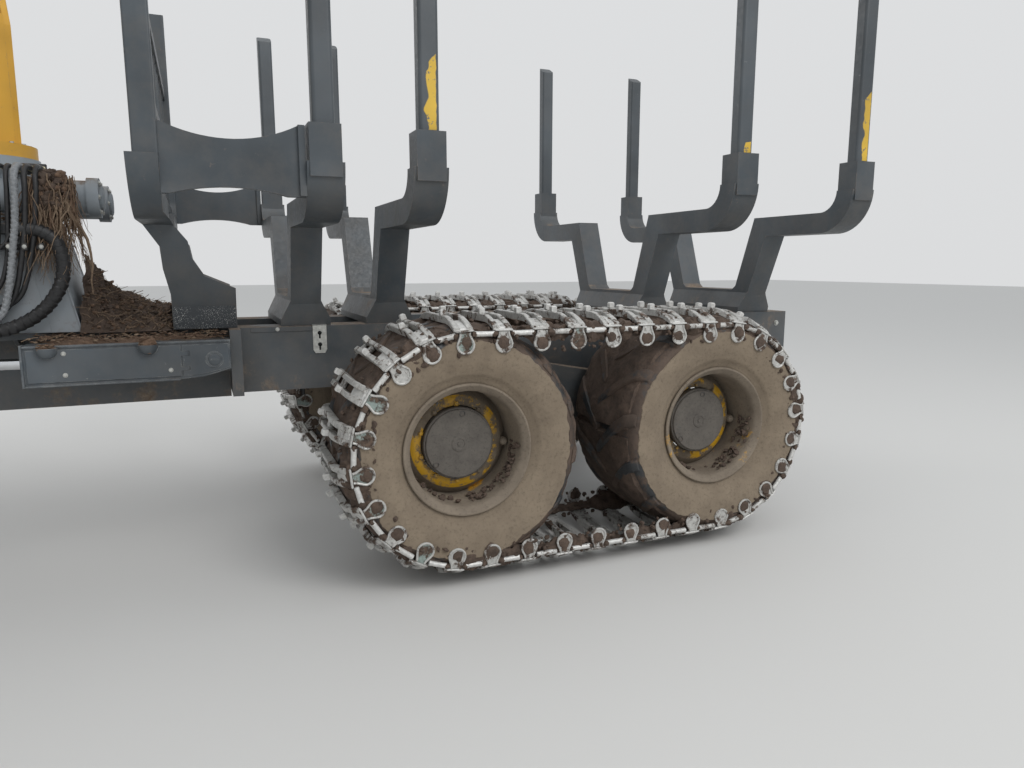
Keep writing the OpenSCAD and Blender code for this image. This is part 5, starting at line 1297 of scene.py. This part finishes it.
def bonnet_trim():
    form = Form()

    def wire(a, b):
        form.pipe([a, b], 0.0022, 4, 0)

    # Woven mesh behind the slots
    for k in range(15):
        wire((BONNET_FRONT - 0.016, -0.43, 1.425 + 0.02 * k), (BONNET_FRONT - 0.016, 0.43, 1.425 + 0.02 * k))
    for k in range(44):
        wire((BONNET_FRONT - 0.019, -0.43 + 0.02 * k, 1.42), (BONNET_FRONT - 0.019, -0.43 + 0.02 * k, 1.71))
    for side in (1, -1):
        y = side * (BONNET_Y - 0.016)
        for k in range(24):
            wire((BONNET_FRONT - 0.91 + 0.02 * k, y, 1.47), (BONNET_FRONT - 0.91 + 0.02 * k, y, 1.77))
        y -= side * 0.003
        for k in range(15):
            wire((BONNET_FRONT - 0.915, y, 1.475 + 0.02 * k), (BONNET_FRONT - 0.44, y, 1.475 + 0.02 * k))
        # Latches and a handle
        for x in (2.62, 3.66):
            form.side_box(side, (x - 0.03, x + 0.03), (0.719, 0.735), (1.395, 1.465), 0.006, 1)
        handle = ((2.98, 0.719), (2.98, 0.76), (3.14, 0.76), (3.14, 0.719))
        form.pipe(rounded_path([(x, side * out, 1.4) for x, out in handle], 0.02), 0.009, 10, 1)
        # Headlamps in the nose
        at = facing((BONNET_FRONT - 0.004, side * 0.5, 1.53), (1, 0, 0))
        form.pipe([(0, 0, 0), (0, 0, 0.01), (0, 0, 0.013)], lambda s: 0.062 if s < 0.9 else 0.058, 28, 1, at)
        form.pipe([(0, 0, 0.01), (0, 0, 0.016), (0, 0, 0.018)], lambda s: 0.052 - 0.006 * s, 28, 2, at)
    # Mouth and clamp of the exhaust pipe
    pipe = shift(BONNET_BACK + 0.25, -0.45, 0) @ spin(pi / 2, "X")
    form.turned([(0.0602, 2.82), (0.0612, 2.822), (0.0612, 2.979), (0.056, 2.983), (0.0496, 2.979),
                 (0.0496, 2.84)], 36, 3, pipe)
    form.turned([(0.0602, 2.36), (0.068, 2.362), (0.068, 2.398), (0.0602, 2.4)], 36, 1, pipe)
    form.make("bonnet_trim", "bonnet", [BLACK_AND_HOLE_SHADE, DARK_FITTING, LENS, SOOT], "ochre_paint")

    # Bolts of the bumper, treads on the mudguards and on the steps
    form = Form()
    form.bolts([(FRONT_REACH, y, z) for y in (-0.42, -0.25, 0.25, 0.42) for z in (0.9, 1.16)], (1, 0, 0), 0,
               0.017, 0.014)
    for side in (1, -1):
        for x in (0.72 + 0.15 * k for k in range(16)):
            form.box((x, side * 1.1 - 0.2, 1.6598), (x + 0.018, side * 1.1 + 0.2, 1.665), 0.0015, 1)
    for z in (0.83 + 0.33 * k for k in range(3)):
        for x in (0.305, 0.345, 0.385, 0.425):
            form.box((x, 0.915, z - 0.0002), (x + 0.012, 1.325, z + 0.006), 0.0015, 1)
    form.make("front_trim", "front_frame", [ZINC, CHARCOAL], "charcoal_paint")


cab_trim()
bonnet_trim()


# Seat with blown-up cushions

def apply_modifiers(obj):
    """Puts the object's modifiers into its mesh."""
    graph = bpy.context.evaluated_depsgraph_get()
    mesh = bpy.data.meshes.new_from_object(obj.evaluated_get(graph), depsgraph=graph)
    obj.modifiers.clear()
    obj.data = mesh


def blow_up(obj):
    """Swells a closed pad by a short cloth simulation."""
    # The cloth moves no further than this
    most = 0.016
    remesh = obj.modifiers.new("even", "REMESH")
    remesh.mode, remesh.voxel_size = "VOXEL", 0.012
    apply_modifiers(obj)
    start_places = [v.co.copy() for v in obj.data.vertices]
    cloth = obj.modifiers.new("blown", "CLOTH")
    cloth.settings.use_pressure = True
    cloth.settings.uniform_pressure_force = 4.0
    cloth.settings.effector_weights.gravity = 0.0
    cloth.settings.quality = 4
    for step in range(1, 16):
        SCENE.frame_set(step)
    apply_modifiers(obj)
    SCENE.frame_set(1)
    for v, p in zip(obj.data.vertices, start_places):
        move = v.co - p
        if move.length > most:
            v.co = p + move.normalized() * most


def cushion(name, size, centre, tilt, sunk):
    """A closed pad whose sides pull in, swollen and then sewn with channels."""
    shape = bmesh.new()
    bmesh.ops.create_cube(shape, size=1.0)
    bmesh.ops.bevel(shape, geom=shape.edges[:], offset=0.16, segments=2, affect="EDGES")
    bmesh.ops.subdivide_edges(shape, edges=shape.edges[:], cuts=3, use_grid_fill=True)
    for v in shape.verts:
        v.co = Vector((v.co.x * size[0], v.co.y * size[1], v.co.z * size[2])) * 0.94
    mesh = bpy.data.meshes.new(name)
    shape.to_mesh(mesh)
    shape.free()
    obj = place_object(name, mesh)
    blow_up(obj)
    for v in obj.data.vertices:
        share = abs(v.co.y) / (size[1] / 2)
        groove = exp(-((share - 0.52) / 0.045) ** 2) + 0.6 * sum(
            exp(-((v.co.x - x) / 0.01) ** 2) for x in (-0.12, 0.0, 0.12) if share < 0.5)
        if v.co.z > 0:
            v.co.z -= 0.01 * groove + sunk * max(0.0, 1 - share * 1.6)
    smooth = obj.modifiers.new("smooth", "SUBSURF")
    smooth.levels = smooth.render_levels = 1
    apply_modifiers(obj)
    obj.data.shade_smooth()
    obj.data.transform(MACHINE @ Matrix.Translation(centre) @ spin(radians(tilt), "Y"))
    obj.data.materials.append(FABRIC)
    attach(obj, "front_frame")
    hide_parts("cab_seat")


def seat():
    x, floor_z = CAB_BACK + 0.7, 1.7603
    form = Form(MACHINE @ shift(x, 0, floor_z))
    form.box((-0.15, -0.15, 0.0), (0.15, 0.15, 0.04), 0.008, 0)
    for k in range(7):
        w = 0.11 + 0.018 * (k % 2)
        form.box((-w, -w, 0.04 + 0.038 * k), (w, w, 0.078 + 0.038 * k), 0.01, 1)
    form.box((-0.24, -0.24, 0.3), (0.25, 0.24, 0.345), 0.012, 0)
    form.box((-0.325, -0.21, 0.345), (-0.29, 0.21, 1.02), 0.012, 0)
    # Armrests with their brackets, consoles and levers
    for side in (1, -1):
        form.side_box(side, (-0.06, 0.06), (0.235, 0.3), (0.372, 0.43), 0.01, 0)
        form.side_box(side, (-0.175, 0.255), (0.282, 0.378), (0.42, 0.48), 0.022, 1)
        form.side_box(side, (0.1, 0.255), (0.29, 0.37), (0.3, 0.425), 0.014, 0)
        form.pipe([(0.19, side * 0.33, 0.475), (0.192, side * 0.33, 0.52), (0.2, side * 0.327, 0.565),
                   (0.204, side * 0.326, 0.59)], lambda s: (0.012, 0.01, 0.02, 0.014)[round(s * 3)], 12, 1)
    form.make("seat_base", "front_frame", [DARK_FITTING, PLASTIC], "seat_fabric", "cab_seat")
    cushion("seat_cushion", (0.5, 0.5, 0.115), (x + 0.01, 0, floor_z + 0.395), -2, 0.01)
    cushion("seat_back", (0.6, 0.46, 0.115), (x - 0.255, 0, floor_z + 0.73), -90, 0.008)


seat()


# Stage, light and camera

def studio():
    size, dip = 60.0, -0.002
    mesh = bpy.data.meshes.new("floor")
    mesh.from_pydata([(-size, -size, dip), (size, -size, dip), (size, size, dip), (-size, size, dip)], [],
                     [(0, 1, 2, 3)])
    mesh.materials.append(Graph("floor_grey").shade((0.6, 0.59, 0.57, 1.0), 0.9))
    place_object("floor", mesh)

    g = Graph("sky", world=True)
    sky = g.mix(g.ramp(g.z_of(g.coord), -0.1, 0.9), (0.78, 0.8, 0.82), (0.92, 0.96, 1.0))
    paths = g.add("LightPath").outputs
    plain_view = g.most(g.most(paths["Is Camera Ray"], paths["Is Glossy Ray"]), paths["Is Transmission Ray"])
    color = g.mix(g.times(plain_view, 0.6), sky, (0.86, 0.86, 0.86))
    SCENE.world = g.show(g.add("Background", {"Color": color, "Strength": 0.85}), "World")

    for name, spot, power, size in (("key", (-6.0, 12.0, 11.0), 900.0, 7.0),
                                    ("rim", (9.0, -8.0, 9.0), 420.0, 6.0)):
        data = bpy.data.lights.new(name, "AREA")
        data.energy, data.size = power, size
        lamp = place_object(name, data)
        lamp.location = spot
        lamp.rotation_euler = (Vector((-1.0, 1.0, 1.2)) - Vector(spot)).to_track_quat("-Z", "Y").to_euler()

    # The photograph's own view
    data = bpy.data.cameras.new("camera")
    data.lens, data.sensor_width, data.clip_end = 26.0, 36.0, 200.0
    camera = place_object("camera", data)
    turn, tilt = radians(22.7), radians(9.2)
    forward = Vector((-sin(turn) * cos(tilt), -cos(turn) * cos(tilt), -sin(tilt)))
    camera.location = (-0.883, 6.194, 1.7255)
    camera.rotation_euler = forward.to_track_quat("-Z", "Y").to_euler()
    SCENE.camera = camera


studio()
SCENE.view_settings.view_transform = "Standard"
